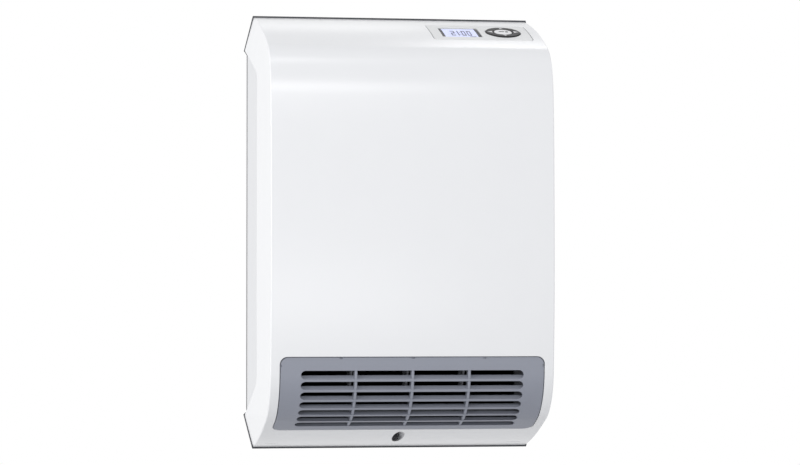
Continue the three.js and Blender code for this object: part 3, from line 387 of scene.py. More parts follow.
def side_stations():
    """Points of the outer side profile with their headings, as 2-D vectors."""
    stations = []
    curves = profile_curves()
    edges = [edge for row in SLOT_ROWS for edge in row]
    edges += [TICK["low"], TICK["high"], GRILLE["top"]]
    for curve, steps in curves:
        for k in range(steps):
            t = k / steps
            for shift in SHIFTS if k else (0,):
                at = bezier(*curve, (k + shift) / steps)
                if at.x > CLEAR_FROM and min(abs(at.y - edge) for edge in edges) > CLEAR:
                    t = (k + shift) / steps
                    break
            stations.append((bezier(*curve, t), bezier_slope(*curve, t).normalized()))
    last = curves[-1][0]
    stations.append((last[3], bezier_slope(*last, 1).normalized()))
    return stations


STATIONS = side_stations()
FORM_REAR = REAR_PLANE - REAR_EXTRA


def inset_point(index, inset):
    """A station's point moved inwards, or carried back to the forms' rear at the two ends."""
    at, ahead = STATIONS[index]
    point = at + Vector((-ahead.y, ahead.x)) * inset
    if index in (0, len(STATIONS) - 1):
        point = point + ahead * ((FORM_REAR - point.x) / ahead.x)
    return point


def rear_half(height):
    share = min(height, COVER_HEIGHT - height) / REAR_CORNER
    return CREASE_HALF + (REAR_HALF - CREASE_HALF) * min(max(share, 0.0), 1.0)


def cover_form(inset, crease=CREASE_ROUND):
    """The cover's outer form moved inwards, as one solid that ends behind the rear plane."""
    half = CREASE_HALF - inset
    loops = []
    for index in range(len(STATIONS)):
        right = []
        for k in range(CREASE_STEPS + 1):
            turn = math.radians(90 * k / CREASE_STEPS)
            at = inset_point(index, inset + crease * (1 - math.cos(turn)))
            right.append((half - crease * (1 - math.sin(turn)), at.x, at.y))
        height = right[-1][2]
        right.append((max(rear_half(height) - inset, half + LEAST_LEAN), FORM_REAR, height))
        left = [(-x, depth, height) for x, depth, height in reversed(right)]
        loops.append([place(*point) for point in left + right])
    return loft("form", loops)


def skin(outer, inner):
    """A layer of the cover's form between two insets."""
    return cut(cover_form(outer), cover_form(inner, INNER_CREASE))


def surface_depth(height):
    """Depth of the cover's outer surface at a height on its lower front."""
    for (a, _), (b, _) in zip(STATIONS, STATIONS[1:]):
        if b.y > height:
            return a.x + (b.x - a.x) * (height - a.y) / (b.y - a.y)


def form_inset(points):
    """The insets of points near the cover's curved front, and which way the front faces there."""
    spots = np.array([at for at, _ in STATIONS])
    ways = np.array([ahead for _, ahead in STATIONS])
    turns = np.unwrap(np.arctan2(ways[:, 1], ways[:, 0]))
    bend = np.gradient(turns) / np.linalg.norm(np.gradient(spots, axis=0), axis=1)
    flat = np.column_stack((-points[:, 1], points[:, 2])) / MM + (0, ORIGIN_HEIGHT)
    nearest = ((flat[:, None, :] - spots[None, :, :]) ** 2).sum(axis=2).argmin(axis=1)
    offset = flat - spots[nearest]
    ahead = (offset * ways[nearest]).sum(axis=1)
    inward = offset[:, 1] * ways[nearest, 0] - offset[:, 0] * ways[nearest, 1]
    inward += bend[nearest] * ahead**2 / 2
    turn = turns[nearest] + bend[nearest] * ahead
    return inward, np.column_stack((np.zeros(len(turn)), -np.sin(turn), -np.cos(turn)))


# ------------------------------------------------------------------ edges and shading


def tidy_mesh(obj):
    """Welds the slivers that cutting leaves and merges what lies flat."""
    with editing(obj.data) as work:
        bmesh.ops.remove_doubles(work, verts=work.verts, dist=WELD * MM)
        bmesh.ops.dissolve_degenerate(work, edges=work.edges, dist=WELD * MM)
        bmesh.ops.dissolve_limit(
            work, angle_limit=math.radians(FLAT), verts=work.verts, edges=work.edges
        )


def thickness(face):
    return face.calc_area() / max(side.calc_length() for side in face.edges)


def round_edges(obj, width):
    """Rounds the true edges; slivers inside one smooth surface are left alone."""
    tidy_mesh(obj)
    with editing(obj.data) as work:
        weight = work.edges.layers.float.new("bevel_weight_edge")
        work.faces.ensure_lookup_table()
        middles = np.array([face.calc_center_median() for face in work.faces])
        insets = form_inset(middles)[0]
        for edge in work.edges:
            if len(edge.link_faces) != 2:
                continue
            a, b = edge.link_faces
            sliver = min(thickness(a), thickness(b)) < SLIVER * MM
            level = abs(insets[a.index] - insets[b.index]) < SAME_SKIN
            same_skin = level and abs(middles[a.index][0]) < SKIN_HALF * MM
            sharp = edge.calc_face_angle(0) > math.radians(TRUE_EDGE)
            if sharp and not sliver and not same_skin:
                edge[weight] = 1.0
    bevel = obj.modifiers.new("edges", "BEVEL")
    bevel.width = width * MM
    bevel.segments = EDGE_SEGMENTS
    bevel.limit_method = "WEIGHT"
    bevel.use_clamp_overlap = False
    bevel.miter_outer = "MITER_ARC"
    return settle(obj)


def follow_form(mesh, inset):
    """Gives each corner on the cover's curved front the direction of the form itself."""
    where = np.empty(len(mesh.vertices) * 3)
    mesh.vertices.foreach_get("co", where)
    where = where.reshape(-1, 3)
    inward, facing = form_inset(where)
    within = np.abs(where[:, 0]) < (CREASE_HALF - CREASE_ROUND) * MM
    flush = (np.abs(inward - inset) < FLUSH) & within
    corners = np.empty(len(mesh.loops) * 3)
    mesh.corner_normals.foreach_get("vector", corners)
    corners = corners.reshape(-1, 3)
    for face in mesh.polygons:
        for corner in face.loop_indices:
            vertex = mesh.loops[corner].vertex_index
            if flush[vertex] and np.dot(face.normal, facing[vertex]) > SAME_WAY:
                corners[corner] = facing[vertex]
    mesh.normals_split_custom_set([tuple(way) for way in corners])


def smooth(obj, inset=None):
    """Shades a piece smoothly, with large faces true and the skin at an inset as the form is."""
    obj.data.shade_smooth()
    obj.data.set_sharp_from_angle(angle=math.radians(SMOOTH_BELOW))
    weights = obj.modifiers.new("weights", "WEIGHTED_NORMAL")
    weights.keep_sharp = True
    settle(obj)
    if inset is not None:
        follow_form(obj.data, inset)
    return obj


# ------------------------------------------------------------------ spaces in the cover


def recess_outline():
    """Depth and height round the cut-back in the sides, between its slanted shelves."""

    def low(depth):
        return RECESS_LOW["height"] + RECESS_LOW["slope"] * (depth - REAR_PLANE)

    def high(depth):
        return RECESS_HIGH["height"] + RECESS_HIGH["slope"] * (depth - REAR_PLANE)

    rear, front, steps = RECESS["rear"], RECESS["front"], RECESS["steps"]
    turn = RECESS["round"]
    before = front - turn
    lower = (before, low(before)), (front, low(front)), (front, low(front) + turn)
    upper = (front, high(front) - turn), (front, high(front)), (before, high(before))
    points = [(rear, low(rear))]
    for corner in (lower, upper):
        points += [quadratic(*corner, i / steps) for i in range(steps + 1)]
    points.append((rear, high(rear)))
    return points


def grille_space(grow):
    """The grille's place, with corners that are rounded as seen from the front and from below."""
    half = GRILLE["half"] + grow
    top, rear = GRILLE["top"] + grow, GRILLE["rear"] - grow
    from_front = rounded(-half, LOW_HEIGHTS[0], half, top, 0, GRILLE["top_round"])
    from_below = rounded(-half, rear, half, LOW_DEPTHS[1], GRILLE["low_round"], 0)
    return common(
        prism(from_front, LOW_DEPTHS, along_depth), prism(from_below, LOW_HEIGHTS, along_height)
    )


def top_space(area, grow):
    """The place of the control panel or the display in the slanted top."""
    outline = rounded(
        area["left"] - grow,
        area["rear"] - grow,
        area["right"] + grow,
        area["front"] + grow,
        area["rear_round"],
        area["front_round"],
    )
    return prism(outline, TOP_HEIGHTS, along_height)


def control_space(grow):
    return top_space(CONTROL, grow)


def hidden_flange(space, start, thick, seam, reach, width):
    """The rim round a plate that is let into the cover, and its flange under the cover's wall."""
    under = COVER_WALL + GAP
    inner = under + thick
    rim = cut(common(skin(start, inner - LAP), space(-seam - SINK)), space(-width))
    flange = cut(common(skin(under, inner), space(reach)), space(-width - LAP))
    return rim, flange


# ------------------------------------------------------------------ materials


def add_node(tree, kind, values=(), **settings):
    """A node with its settings, and the values of its sockets by name."""
    node = tree.nodes.new(kind)
    for setting, value in settings.items():
        setattr(node, setting, value)
    set_values(node, values)
    return node


def set_values(node, values):
    for socket, value in dict(values).items():
        node.inputs[socket].default_value = value


def link(tree, source, output, target, socket):
    tree.links.new(source.outputs[output], target.inputs[socket])


def new_material(name):
    made = bpy.data.materials.new(name)
    made.use_nodes = True
    tree = made.node_tree
    return made, tree, tree.nodes["Principled BSDF"]


def noise(tree, scale, detail=3.0, stretch=(1, 1, 1)):
    where = add_node(tree, "ShaderNodeTexCoord")
    mapping = add_node(tree, "ShaderNodeMapping", {"Scale": stretch})
    texture = add_node(tree, "ShaderNodeTexNoise", {"Scale": scale, "Detail": detail})
    link(tree, where, "Object", mapping, "Vector")
    link(tree, mapping, "Vector", texture, "Vector")
    return texture


def spread(tree, source, low, high):
    """Maps a noise's middle range onto low to high."""
    values = {"From Min": 0.3, "From Max": 0.7, "To Min": low, "To Max": high}
    mapped = add_node(tree, "ShaderNodeMapRange", values)
    link(tree, source, "Fac", mapped, "Value")
    return mapped


def tint(tree, source, low, high):
    """A colour that goes with a noise from low to high."""
    mix = add_node(tree, "ShaderNodeMix", {"A": (*low, 1), "B": (*high, 1)}, data_type="RGBA")
    link(tree, spread(tree, source, 0.0, 1.0), "Result", mix, "Factor")
    return mix


def moulded(
    name,
    colour,
    roughness,
    *,
    vary=0.03,
    rough_vary=0.05,
    cloud=45.0,
    grain=2600.0,
    bump=0.04,
    stretch=(1, 1, 1),
    metallic=0.0,
    specular=0.5,
):
    """Plastic, rubber or metal: a cloudy tint, a varied sheen and a fine surface grain."""
    made, tree, shader = new_material(name)
    clouds = noise(tree, cloud, stretch=stretch)
    darker = tuple(c * (1 - vary) for c in colour)
    link(tree, tint(tree, clouds, darker, colour), "Result", shader, "Base Color")
    sheen = spread(tree, clouds, roughness - rough_vary, roughness + rough_vary)
    link(tree, sheen, "Result", shader, "Roughness")
    set_values(shader, {"Metallic": metallic, "Specular IOR Level": specular})
    if bump:
        fine = noise(tree, grain, detail=2.0, stretch=stretch)
        relief = add_node(tree, "ShaderNodeBump", {"Strength": bump, "Distance": 0.05 * MM})
        link(tree, fine, "Fac", relief, "Height")
        link(tree, relief, "Normal", shader, "Normal")
    return made


COVER_WHITE = moulded(
    "cover_gloss_white",
    (0.825, 0.83, 0.84),
    0.235,
    vary=0.006,
    rough_vary=0.008,
    grain=420.0,
    bump=0.012,
)
CASING_WHITE = moulded(
    "casing_satin_white",
    (0.73, 0.735, 0.745),
    0.45,
    vary=0.012,
    rough_vary=0.03,
    grain=900.0,
    bump=0.08,
)
PANEL_GREY = moulded("back_panel_grey", (0.04, 0.042, 0.05), 0.55, vary=0.15, grain=900.0, bump=0.2)
GRILLE_GREY = moulded("grille_blue_grey", (0.27, 0.285, 0.335), 0.42, grain=900.0, bump=0.06)
CONTROL_WHITE = moulded(
    "control_satin_white",
    (0.74, 0.745, 0.745),
    0.4,
    vary=0.012,
    rough_vary=0.02,
    grain=1200.0,
    bump=0.06,
)
BLACK = moulded("black_plastic", (0.014, 0.014, 0.016), 0.5, vary=0.2, grain=900.0, bump=0.1)
DUCT_GREY = moulded("duct_grey", (0.17, 0.175, 0.195), 0.5, vary=0.15, grain=900.0, bump=0.1)
DARK_KEY = moulded(
    "dark_key", (0.018, 0.018, 0.02), 0.5, vary=0.1, grain=1500.0, bump=0.06, specular=0.2
)
PALE_KEY = moulded("pale_key", (0.79, 0.79, 0.8), 0.33, vary=0.012, rough_vary=0.02, grain=1500.0)
MASK_BLACK = moulded(
    "display_mask", (0.012, 0.012, 0.015), 0.4, vary=0.1, bump=0.0, specular=0.06
)
INK_BLUE = moulded("display_ink", (0.03, 0.035, 0.12), 0.4, vary=0.1, bump=0.0, specular=0.2)
KEY_PRINT = moulded("key_print", (0.72, 0.72, 0.73), 0.5, vary=0.05, bump=0.0)
KEY_INK = moulded("key_ink", (0.025, 0.025, 0.03), 0.5, vary=0.05, bump=0.0)
CREAM = moulded("cream_plastic", (0.72, 0.66, 0.52), 0.55, vary=0.06, grain=900.0, bump=0.1)
BLUE = moulded("capacitor_blue", (0.03, 0.09, 0.36), 0.4, vary=0.08)
YELLOW = moulded("winding_tape", (0.66, 0.46, 0.03), 0.45, vary=0.1, stretch=(1, 1, 6))
RUBBER = moulded(
    "black_rubber", (0.02, 0.02, 0.021), 0.8, vary=0.2, grain=700.0, bump=0.3, specular=0.3
)
SILICONE = moulded("grey_silicone", (0.45, 0.46, 0.48), 0.7, vary=0.06, grain=700.0, bump=0.15)
LEAD_RED = moulded("lead_red", (0.42, 0.025, 0.02), 0.45, vary=0.08)
BOARD_GREEN = moulded(
    "board_green", (0.015, 0.14, 0.05), 0.35, vary=0.45, cloud=160.0, stretch=(6, 1, 1)
)
ZINC = moulded(
    "zinc_steel",
    (0.62, 0.64, 0.66),
    0.34,
    vary=0.12,
    rough_vary=0.07,
    cloud=120.0,
    grain=1200.0,
    metallic=1.0,
)
DARK_STEEL = moulded(
    "dark_steel", (0.05, 0.05, 0.055), 0.38, vary=0.2, rough_vary=0.08, metallic=0.9
)
LAMINATION = moulded(
    "lamination_steel",
    (0.3, 0.31, 0.33),
    0.5,
    vary=0.35,
    cloud=60.0,
    stretch=(40, 1, 1),
    metallic=1.0,
)
COPPER = moulded(
    "copper_winding",
    (0.62, 0.24, 0.09),
    0.35,
    vary=0.3,
    cloud=60.0,
    stretch=(30, 1, 1),
    metallic=1.0,
)
BRONZE = moulded(
    "sintered_bronze", (0.5, 0.31, 0.13), 0.55, vary=0.25, grain=900.0, bump=0.3, metallic=1.0
)
ALUMINIUM = moulded(
    "fin_aluminium", (0.72, 0.73, 0.75), 0.35, vary=0.08, stretch=(1, 1, 12), metallic=1.0
)
GLASS_CLOUD = 60.0


def display_light():
    """The lit face of the display: a pale violet that glows softly and a little unevenly."""
    made, tree, shader = new_material("display_light")
    clouds = noise(tree, GLASS_CLOUD)
    colours = tint(tree, clouds, (0.56, 0.6, 0.86), (0.62, 0.66, 0.92))
    link(tree, colours, "Result", shader, "Base Color")
    link(tree, colours, "Result", shader, "Emission Color")
    values = {"Emission Strength": 0.32, "Roughness": 0.3, "Specular IOR Level": 0.25}
    set_values(shader, values)
    return made


def clear_plastic():
    """The display's window: almost clear, with a weak cold tint and a gloss that varies."""
    made, tree, shader = new_material("window_clear")
    clouds = noise(tree, GLASS_CLOUD)
    colours = tint(tree, clouds, (0.86, 0.88, 0.96), (0.9, 0.92, 1.0))
    link(tree, colours, "Result", shader, "Base Color")
    link(tree, spread(tree, clouds, 0.05, 0.1), "Result", shader, "Roughness")
    set_values(shader, {"Specular IOR Level": 0.2, "Alpha": 0.06})
    return made


DISPLAY_LIGHT = display_light()
WINDOW_CLEAR = clear_plastic()

# ------------------------------------------------------------------ finishing a piece


def give_material(obj, material):
    obj.data.materials.clear()
    obj.data.materials.append(material)


def dress(obj, name, material, slot, *stands_for, body="heater_body"):
    obj.name = name
    obj.data.name = name
    give_material(obj, material)
    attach(obj, body)
    if stands_for:
        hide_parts(*stands_for)


# ------------------------------------------------------------------ front cover


def build_cover():
    shell = skin(HAIR, COVER_WALL)
    cut(shell, box(ACROSS, BEHIND, FULL_HEIGHT), prism(recess_outline(), ACROSS, along_x))
    height, radius, floor = TUNNEL["height"], TUNNEL["radius"], TUNNEL["floor"]
    tube = disc(0, height, radius + TUNNEL["wall"], TUBE_SIDES)
    tube_depths = (floor - TUNNEL["floor_thick"], TUNNEL_ENDS["tube"])
    join(shell, common(prism(tube, tube_depths, along_depth), cover_form(TUNNEL["inset"])))
    bore = disc(0, height, radius, TUBE_SIDES)
    screw_hole = disc(0, height, TUNNEL_SCREW["radius"], SCREW_SIDES)
    cut(
        shell,
        prism(bore, (floor, TUNNEL_ENDS["bore"]), along_depth),
        prism(screw_hole, TUNNEL_SCREW["depths"], along_depth),
        grille_space(0),
        control_space(GAP + SEAM_EASE),
    )
    half = NOTCH["wide"] / 2
    for x in (-NOTCH["x"], NOTCH["x"]):
        notch = box((x - half, x + half), NOTCH["depths"], NOTCH["heights"])
        cut(shell, cut(notch, cover_form(NOTCH["deep"])))
    return smooth(round_edges(shell, EDGES["cover"]), HAIR)


dress(build_cover(), "cover_shell", COVER_WHITE, "cover_white", "front_cover")

# ------------------------------------------------------------------ outlet grille


def slot_outline(low, high):
    middle, half = (low + high) / 2, (high - low) / 2
    end, steps = SLOT["end_round"], SLOT["end_steps"]
    reach = SLOT["half"] - end
    right = arc(reach, middle, end, half, -90, 180, steps)
    return right + arc(-reach, middle, end, half, 90, 180, steps)


def slat(low, high, share):
    """A louvre with a rounded nose, rising towards the back."""
    rise = share * (high - low)
    run = rise / math.tan(math.radians(SLAT["angle"]))
    thick = SLAT["thick"]
    round_off = thick / 2
    nose = surface_depth(low) - SLAT["back"]
    centre = (nose - round_off, low - round_off - SLAT["drop"])
    outline = arc(*centre, round_off, round_off, -90, SLAT_NOSE["turn"], SLAT_NOSE["steps"])
    outline += [(nose - run, low + rise), (nose - run - SLAT["tail"], low + rise - thick)]
    reach = SLOT["half"] + SLAT["overlap"]
    return common(prism(outline, (-reach, reach), along_x), cover_form(SLAT["inset"]))


def bar(x):
    """An upright bar that follows the cover's profile just under its surface."""
    half, corner, steps = BAR["width"] / 2, BAR["corner"], BAR["corner_steps"]
    front, rear = BAR_INSETS
    section = [(x - half, rear)]
    for k in range(steps + 1):
        turn = math.radians(90 * k / steps)
        across = x - half + corner * (1 - math.cos(turn))
        section.append((across, front + corner * (1 - math.sin(turn))))
    section += [(2 * x - across, inset) for across, inset in reversed(section)]
    low, high = BAR_HEIGHTS
    loops = []
    for index, (at, _) in enumerate(STATIONS):
        if at.x > BAR_FROM and low < at.y < high:
            points = [(across, inset_point(index, inset)) for across, inset in section]
            loops.append([place(across, point.x, point.y) for across, point in points])
    return loft("bar", loops)


def build_grille():
    outer = GRILLE["inset"]
    plate = common(skin(outer, GRILLE["thick"] + outer), grille_space(-GRILLE_GAP))
    for row in SLOT_ROWS:
        cut(plate, prism(slot_outline(*row), SLOT_DEPTHS, along_depth))
    half, deep = TICK["wide"] / 2, TICK["deep"]
    heights = (GRILLE["top"] - deep, GRILLE["top"] + TICK_PAST)
    for x in TOP_TICKS:
        cut(plate, box((x - half, x + half), TOP_TICK_DEPTHS, heights))
    for side in (-1, 1):
        ends = sorted((side * (GRILLE["half"] - deep), side * (GRILLE["half"] + TICK_PAST)))
        cut(plate, box(ends, SIDE_TICK_DEPTHS, (TICK["low"], TICK["high"])))
    round_edges(plate, EDGES["grille"])
    shells = hidden_flange(
        grille_space, start=1.5, thick=1.5, seam=GRILLE_GAP, reach=4.0, width=6.0
    )
    bars = [bar(i * BAR["pitch"]) for i in (-1, 0, 1)]
    slats = [slat(*row, share) for row, share in zip(SLOT_ROWS, SLAT_SHARES)]
    return smooth(merge(plate, *shells, *bars, *slats), outer)


dress(build_grille(), "grille_insert", GRILLE_GREY, "grille_grey", "outlet_grille")

# ------------------------------------------------------------------ control panel


def build_control_plate():
    plate = common(skin(*CONTROL_PLATE), control_space(-SEAM_EASE))
    well = disc(0, 0, RING["outer"] + RING["gap"], KEY_SIDES)
    cut(plate, top_space(DISPLAY, 0), prism(well, KEY_WELL, along_key))
    round_edges(plate, EDGES["control"])
    shells = hidden_flange(
        control_space, start=1.0, thick=1.2, seam=SEAM_EASE, reach=3.0, width=4.0
    )
    return smooth(merge(plate, *shells), CONTROL_PLATE[0])


dress(build_control_plate(), "control_plate", CONTROL_WHITE, "control_grey", "control_panel")

# ------------------------------------------------------------------ display


def figure_strokes(left, letters):
    """Rectangles (x0, depth0, x1, depth1) of a seven-segment figure."""
    rear, front, stroke = DIGITS["rear"], DIGITS["front"], DIGITS["stroke"]
    middle = (rear + front) / 2
    right = left + DIGITS["wide"]
    thick = stroke * DIGIT_STRETCH
    strokes = {
        "a": (left, rear, right, rear + thick),
        "g": (left, middle - thick / 2, right, middle + thick / 2),
        "d": (left, front - thick, right, front),
        "f": (left, rear, left + stroke, middle),
        "b": (right - stroke, rear, right, middle),
        "e": (left, middle, left + stroke, front),
        "c": (right - stroke, middle, right, front),
    }
    return [strokes[letter] for letter in letters]


def build_digits():
    """The time 21:00 and a small dash, as thin printed shapes under the window."""
    lefts, wide, deep = DIGITS["lefts"], DOTS["wide"], DOTS["deep"]
    shapes = []
    for left, figure in zip(lefts, "2100"):
        shapes += figure_strokes(left, SEGMENTS[figure])
    dots_x = (lefts[1] + DIGITS["wide"] + lefts[2]) / 2 - wide / 2
    shapes += [(dots_x, rear, dots_x + wide, rear + deep) for rear in DOTS["rears"]]
    shapes.append(DASH)
    outer, inner = LAYERS["digits"]
    tiles = []
    for shape in shapes:
        tile = common(prism(rectangle(*shape), TOP_HEIGHTS, along_height), cover_form(outer))
        tiles.append(cut(tile, cover_form(inner, INNER_CREASE)))
    return merge(*tiles)


def build_display():
    left, right = DISPLAY["left"] + DISPLAY_BAND, DISPLAY["right"] - DISPLAY_BAND
    rear, front = DISPLAY["rear"] + DISPLAY_MARGIN, DISPLAY["front"] - DISPLAY_MARGIN
    lit = rectangle(left, rear, right, front)
    pane = common(skin(*LAYERS["pane"]), top_space(DISPLAY, -GAP))
    smooth(round_edges(pane, EDGES["pane"]), LAYERS["pane"][0])
    dress(pane, "display_pane", WINDOW_CLEAR, "window_clear", "display_window")
    face = common(skin(*LAYERS["face"]), prism(lit, TOP_HEIGHTS, along_height))
    smooth(face, LAYERS["face"][0])
    dress(face, "display_face", DISPLAY_LIGHT, "display_face", "display_glass")
    mask = common(skin(*LAYERS["mask"]), top_space(DISPLAY, -GAP))
    smooth(cut(mask, prism(lit, TOP_HEIGHTS, along_height)), LAYERS["mask"][0])
    dress(mask, "display_mask", MASK_BLACK, "black_plastic")
    dress(build_digits(), "display_digits", INK_BLUE, "display_face")


build_display()

# ------------------------------------------------------------------ keys


def key_corner(radius, shoulder, corner):
    """The rounded outer corner of a key's profile."""
    across, up = corner
    return [
        (radius - across * (1 - math.cos(t)), shoulder + up * math.sin(t)) for t in CORNER_TURNS
    ]


def build_ring():
    inner, outer, under, shoulder = RING["inner"], RING["outer"], RING["under"], RING["shoulder"]
    profile = [(inner, under), (outer, under), (outer, shoulder)]
    profile += key_corner(outer, shoulder, RING["corner"])
    profile += [
        ((outer + inner) / 2, RING_TOP["crown"]),
        (inner + RING_TOP["land"], RING_TOP["land_height"]),
        (inner, shoulder),
    ]
    return smooth(lathe("ring", profile))


def build_cap():
    radius, under, shoulder = RING["inner"] - RING["gap"], CAP["under"], CAP["shoulder"]
    profile = [(0, STEM["end"]), (STEM["radius"], STEM["end"]), (STEM["radius"], under)]
    profile += [(radius, under), (radius, shoulder)]
    profile += key_corner(radius, shoulder, CAP["corner"])
    profile += [(radius / 2, CAP["half_way"]), (0, CAP["crown"])]
    return smooth(lathe("cap", profile))


def arrow(reach, size, turn):
    """A small triangle on the ring that points outwards along one of the four ways."""
    a = math.radians(turn)
    along, across = Vector((math.cos(a), math.sin(a))), Vector((-math.sin(a), math.cos(a)))
    tip, back = along * (reach + size), along * (reach - size)
    wing = across * size * ARROW_WING
    return [tuple(tip), tuple(back + wing), tuple(back - wing)]


def key_marks(outlines, heights):
    return merge(*(prism(outline, heights, along_key) for outline in outlines))


dress(build_ring(), "ring_key_top", DARK_KEY, "dark_key", "nav_ring", body="ring_key")
dress(build_cap(), "centre_key_cap", PALE_KEY, "pale_key", "centre_key", body="ok_key")

ring_middle = (RING["outer"] + RING["inner"]) / 2
arrows = [arrow(ring_middle, size, turn) for size, turn in ARROWS]
ring_marks = key_marks(arrows, RING_MARK_HEIGHTS)
dress(ring_marks, "ring_marks", KEY_PRINT, "pale_key", body="ring_key")
centre_marks = key_marks([rectangle(*mark) for mark in CENTRE_MARKS], CENTRE_MARK_HEIGHTS)
dress(centre_marks, "centre_marks", KEY_INK, "dark_key", body="ok_key")

# ------------------------------------------------------------------ CAD pieces that stay

KEPT = [
    (CASING_WHITE, ["rear_casing"]),
    (PANEL_GREY, ["back_panel"]),
    (ZINC, ["wall_bracket", "fan_plate_left", "fan_plate_right", "wheel_pin", "motor_shaft"]),
    (ZINC, ["motor_strap_front", "motor_strap_rear", "motor_screw_1", "motor_screw_2"]),
    (ZINC, ["casing_screw_1", "casing_screw_2", "casing_screw_3", "casing_screw_4"]),
    (ZINC, ["clamp_screw", "board_screw_1", "board_screw_2"]),
    (DARK_STEEL, ["cover_screw"]),
    (BLACK, ["display_frame", "ring_carrier", "fan_wheel", "fan_scroll", "cooling_impeller"]),
    (BLACK, ["heat_relay_1", "heat_relay_2", "cable_clamp", "room_sensor"]),
    (DUCT_GREY, ["outlet_duct"]),
    (SILICONE, ["switch_mat", "display_ribbon"]),
    (BOARD_GREEN, ["control_board", "power_board"]),
    (BRONZE, ["wheel_bush", "motor_bush_front", "motor_bush_rear"]),
    (RUBBER, ["bush_rubber", "cable_grommet"]),
    (LAMINATION, ["motor_rotor", "motor_stator"]),
    (COPPER, ["motor_coil"]),
    (CREAM, ["heater_frame", "thermal_cutout", "terminal_block"]),
    (ALUMINIUM, ["heating_row_1", "heating_row_2", "heating_row_3", "thermal_fuse"]),
    (YELLOW, ["transformer"]),
    (BLUE, ["filter_capacitor"]),
    (LEAD_RED, ["motor_lead", "heater_lead"]),
]


def smooth_by_angle(angle):
    """A node group that shades smoothly and keeps edges sharper than the angle."""
    group = bpy.data.node_groups.new("smooth_by_angle", "GeometryNodeTree")
    for way in ("INPUT", "OUTPUT"):
        group.interface.new_socket("Geometry", in_out=way, socket_type="NodeSocketGeometry")
    start = add_node(group, "NodeGroupInput")
    end = add_node(group, "NodeGroupOutput")
    faces = add_node(group, "GeometryNodeSetShadeSmooth")
    edges = add_node(group, "GeometryNodeSetShadeSmooth", domain="EDGE")
    bend = add_node(group, "GeometryNodeInputMeshEdgeAngle")
    limit = {"B": math.radians(angle)}
    gentle = add_node(group, "FunctionNodeCompare", limit, operation="LESS_EQUAL")
    link(group, start, 0, faces, "Geometry")
    link(group, faces, "Geometry", edges, "Geometry")
    link(group, bend, "Unsigned Angle", gentle, "A")
    link(group, gentle, "Result", edges, "Shade Smooth")
    link(group, edges, "Geometry", end, 0)
    return group


def finish_node(name, material, smoothing):
    """Gives a CAD piece its material, soft shading and, where listed, rounded edges."""
    node = nodes[name]
    give_material(node, material)
    weld = node.modifiers.new("weld", "WELD")
    weld.merge_threshold = NODE_WELD * MM
    if name in NODE_EDGES:
        bevel = node.modifiers.new("edges", "BEVEL")
        bevel.width = NODE_EDGES[name] * MM
        bevel.segments = EDGE_SEGMENTS
        bevel.limit_method = "ANGLE"
        bevel.angle_limit = math.radians(TRUE_EDGE)
    shade = node.modifiers.new("smooth", "NODES")
    shade.node_group = smoothing
    weights = node.modifiers.new("weights", "WEIGHTED_NORMAL")
    weights.keep_sharp = True


smoothing = smooth_by_angle(SMOOTH_BELOW)
for material, names in KEPT:
    for name in names:
        finish_node(name, material, smoothing)

# ------------------------------------------------------------------ stage, light and camera

# In metres and degrees. A pitch of 90 looks level, and a yaw of 0 straight at the wall.
CAMERA = dict(lens=137.7, sensor=36.0, at=(-0.49279, -2.8251, -0.16357), pitch=91.462, yaw=-10.087)
FLOOR = dict(level=-0.6, radius=0.75, fade=0.3, sides=96)
MIDDLE = Vector((0, -0.06, -0.09))
BROW = Vector((0, -0.115, 0.06))  # where the front turns into the slanted top

# Name, what it looks at, azimuth and elevation, distance, size, watts.
LAMPS = [
    ("left_softbox", MIDDLE, (-73, 4), 1.6, (1.2, 0.9), 13),
    ("right_fill", MIDDLE, (84, 22), 1.8, (1.0, 1.0), 3.6),
    ("front_fill", MIDDLE, (17, 1), 2.4, (1.6, 1.2), 3.9),
    ("low_glow", MIDDLE, (3, -4.5), 2.0, (0.5, 0.26), 1.5),
    ("strip_front", BROW, (-4, 19), 2.0, (0.95, 0.28), 6.6),
    ("strip_high", BROW, (-12, 62), 1.6, (0.6, 0.34), 2.9),
    ("strip_behind", BROW, (152, 47.5), 2.0, (0.56, 0.2), 1.35),
    ("strip_wall", BROW, (176, 31), 2.0, (0.5, 0.3), 0.35),
]


def larger(tree, first, output, second, second_output):
    node = add_node(tree, "ShaderNodeMath", operation="MAXIMUM")
    link(tree, first, output, node, 0)
    link(tree, second, second_output, node, 1)
    return node


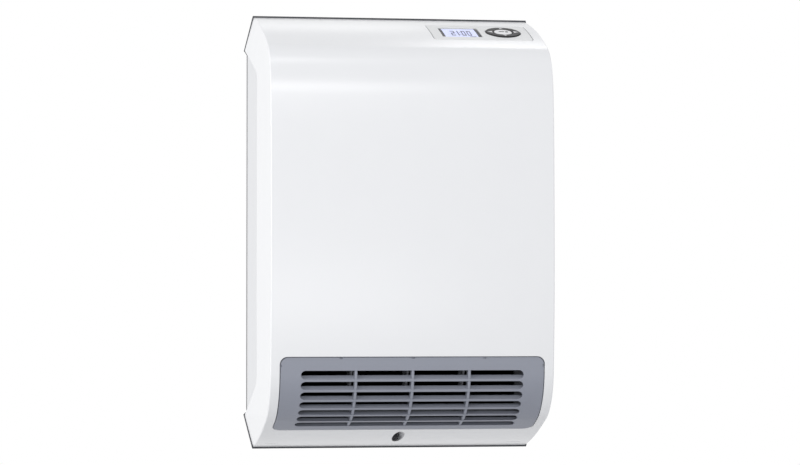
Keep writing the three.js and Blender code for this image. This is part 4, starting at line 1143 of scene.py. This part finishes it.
def build_world():
    """Soft light for the surfaces; the camera, gloss and clear plastic see plain white."""
    world = bpy.data.worlds.new("studio")
    bpy.context.scene.world = world
    world.use_nodes = True
    tree = world.node_tree
    tree.nodes.clear()
    path = add_node(tree, "ShaderNodeLightPath")
    soft = add_node(tree, "ShaderNodeBackground", {"Color": (0.96, 0.97, 1, 1), "Strength": 0.55})
    white = add_node(tree, "ShaderNodeBackground", {"Color": (1, 1, 1, 1), "Strength": 1.0})
    seen = larger(tree, path, "Is Camera Ray", path, "Is Glossy Ray")
    clear = larger(tree, seen, "Value", path, "Is Transmission Ray")
    mix = add_node(tree, "ShaderNodeMixShader")
    output = add_node(tree, "ShaderNodeOutputWorld")
    link(tree, clear, "Value", mix, 0)
    link(tree, soft, "Background", mix, 1)
    link(tree, white, "Background", mix, 2)
    link(tree, mix, "Shader", output, "Surface")


def build_floor():
    """A pale disc well below the heater that fades out towards its rim."""
    outline = disc(0, 0, FLOOR["radius"], FLOOR["sides"])
    floor = solid("floor", [(x, y, 0) for x, y in outline], [tuple(range(len(outline)))])
    floor.location.z = FLOOR["level"]
    pale = moulded("floor_pale", (0.85, 0.85, 0.85), 0.8, vary=0.02, cloud=4.0, bump=0.0)
    tree = pale.node_tree
    where = add_node(tree, "ShaderNodeTexCoord")
    out = add_node(tree, "ShaderNodeVectorMath", operation="LENGTH")
    span = {"From Min": FLOOR["radius"], "From Max": FLOOR["fade"]}
    fade = add_node(tree, "ShaderNodeMapRange", span, interpolation_type="SMOOTHSTEP")
    link(tree, where, "Object", out, "Vector")
    link(tree, out, "Value", fade, "Value")
    link(tree, fade, "Result", tree.nodes["Principled BSDF"], "Alpha")
    floor.data.materials.append(pale)


def build_camera():
    data = bpy.data.cameras.new("camera")
    data.lens = CAMERA["lens"]
    data.sensor_width = CAMERA["sensor"]
    camera = add_object("camera", data)
    camera.location = CAMERA["at"]
    camera.rotation_euler = (math.radians(CAMERA["pitch"]), 0, math.radians(CAMERA["yaw"]))
    bpy.context.scene.camera = camera


def towards(azimuth, elevation):
    """A direction: azimuth 0 straight out of the wall, positive to the right."""
    a, e = math.radians(azimuth), math.radians(elevation)
    return Vector((math.sin(a) * math.cos(e), -math.cos(a) * math.cos(e), math.sin(e)))


def area_light(name, target, direction, distance, size, watts):
    """A rectangular lamp in a direction from a point, which it looks at."""
    data = bpy.data.lights.new(name, "AREA")
    data.shape = "RECTANGLE"
    data.size, data.size_y = size
    data.energy = watts
    lamp = add_object(name, data)
    way = towards(*direction).normalized()
    lamp.location = target + way * distance
    lamp.rotation_euler = way.to_track_quat("Z", "Y").to_euler()


build_world()
build_floor()
build_camera()
for lamp in LAMPS:
    area_light(*lamp)

bpy.context.scene.view_settings.view_transform = "Standard"
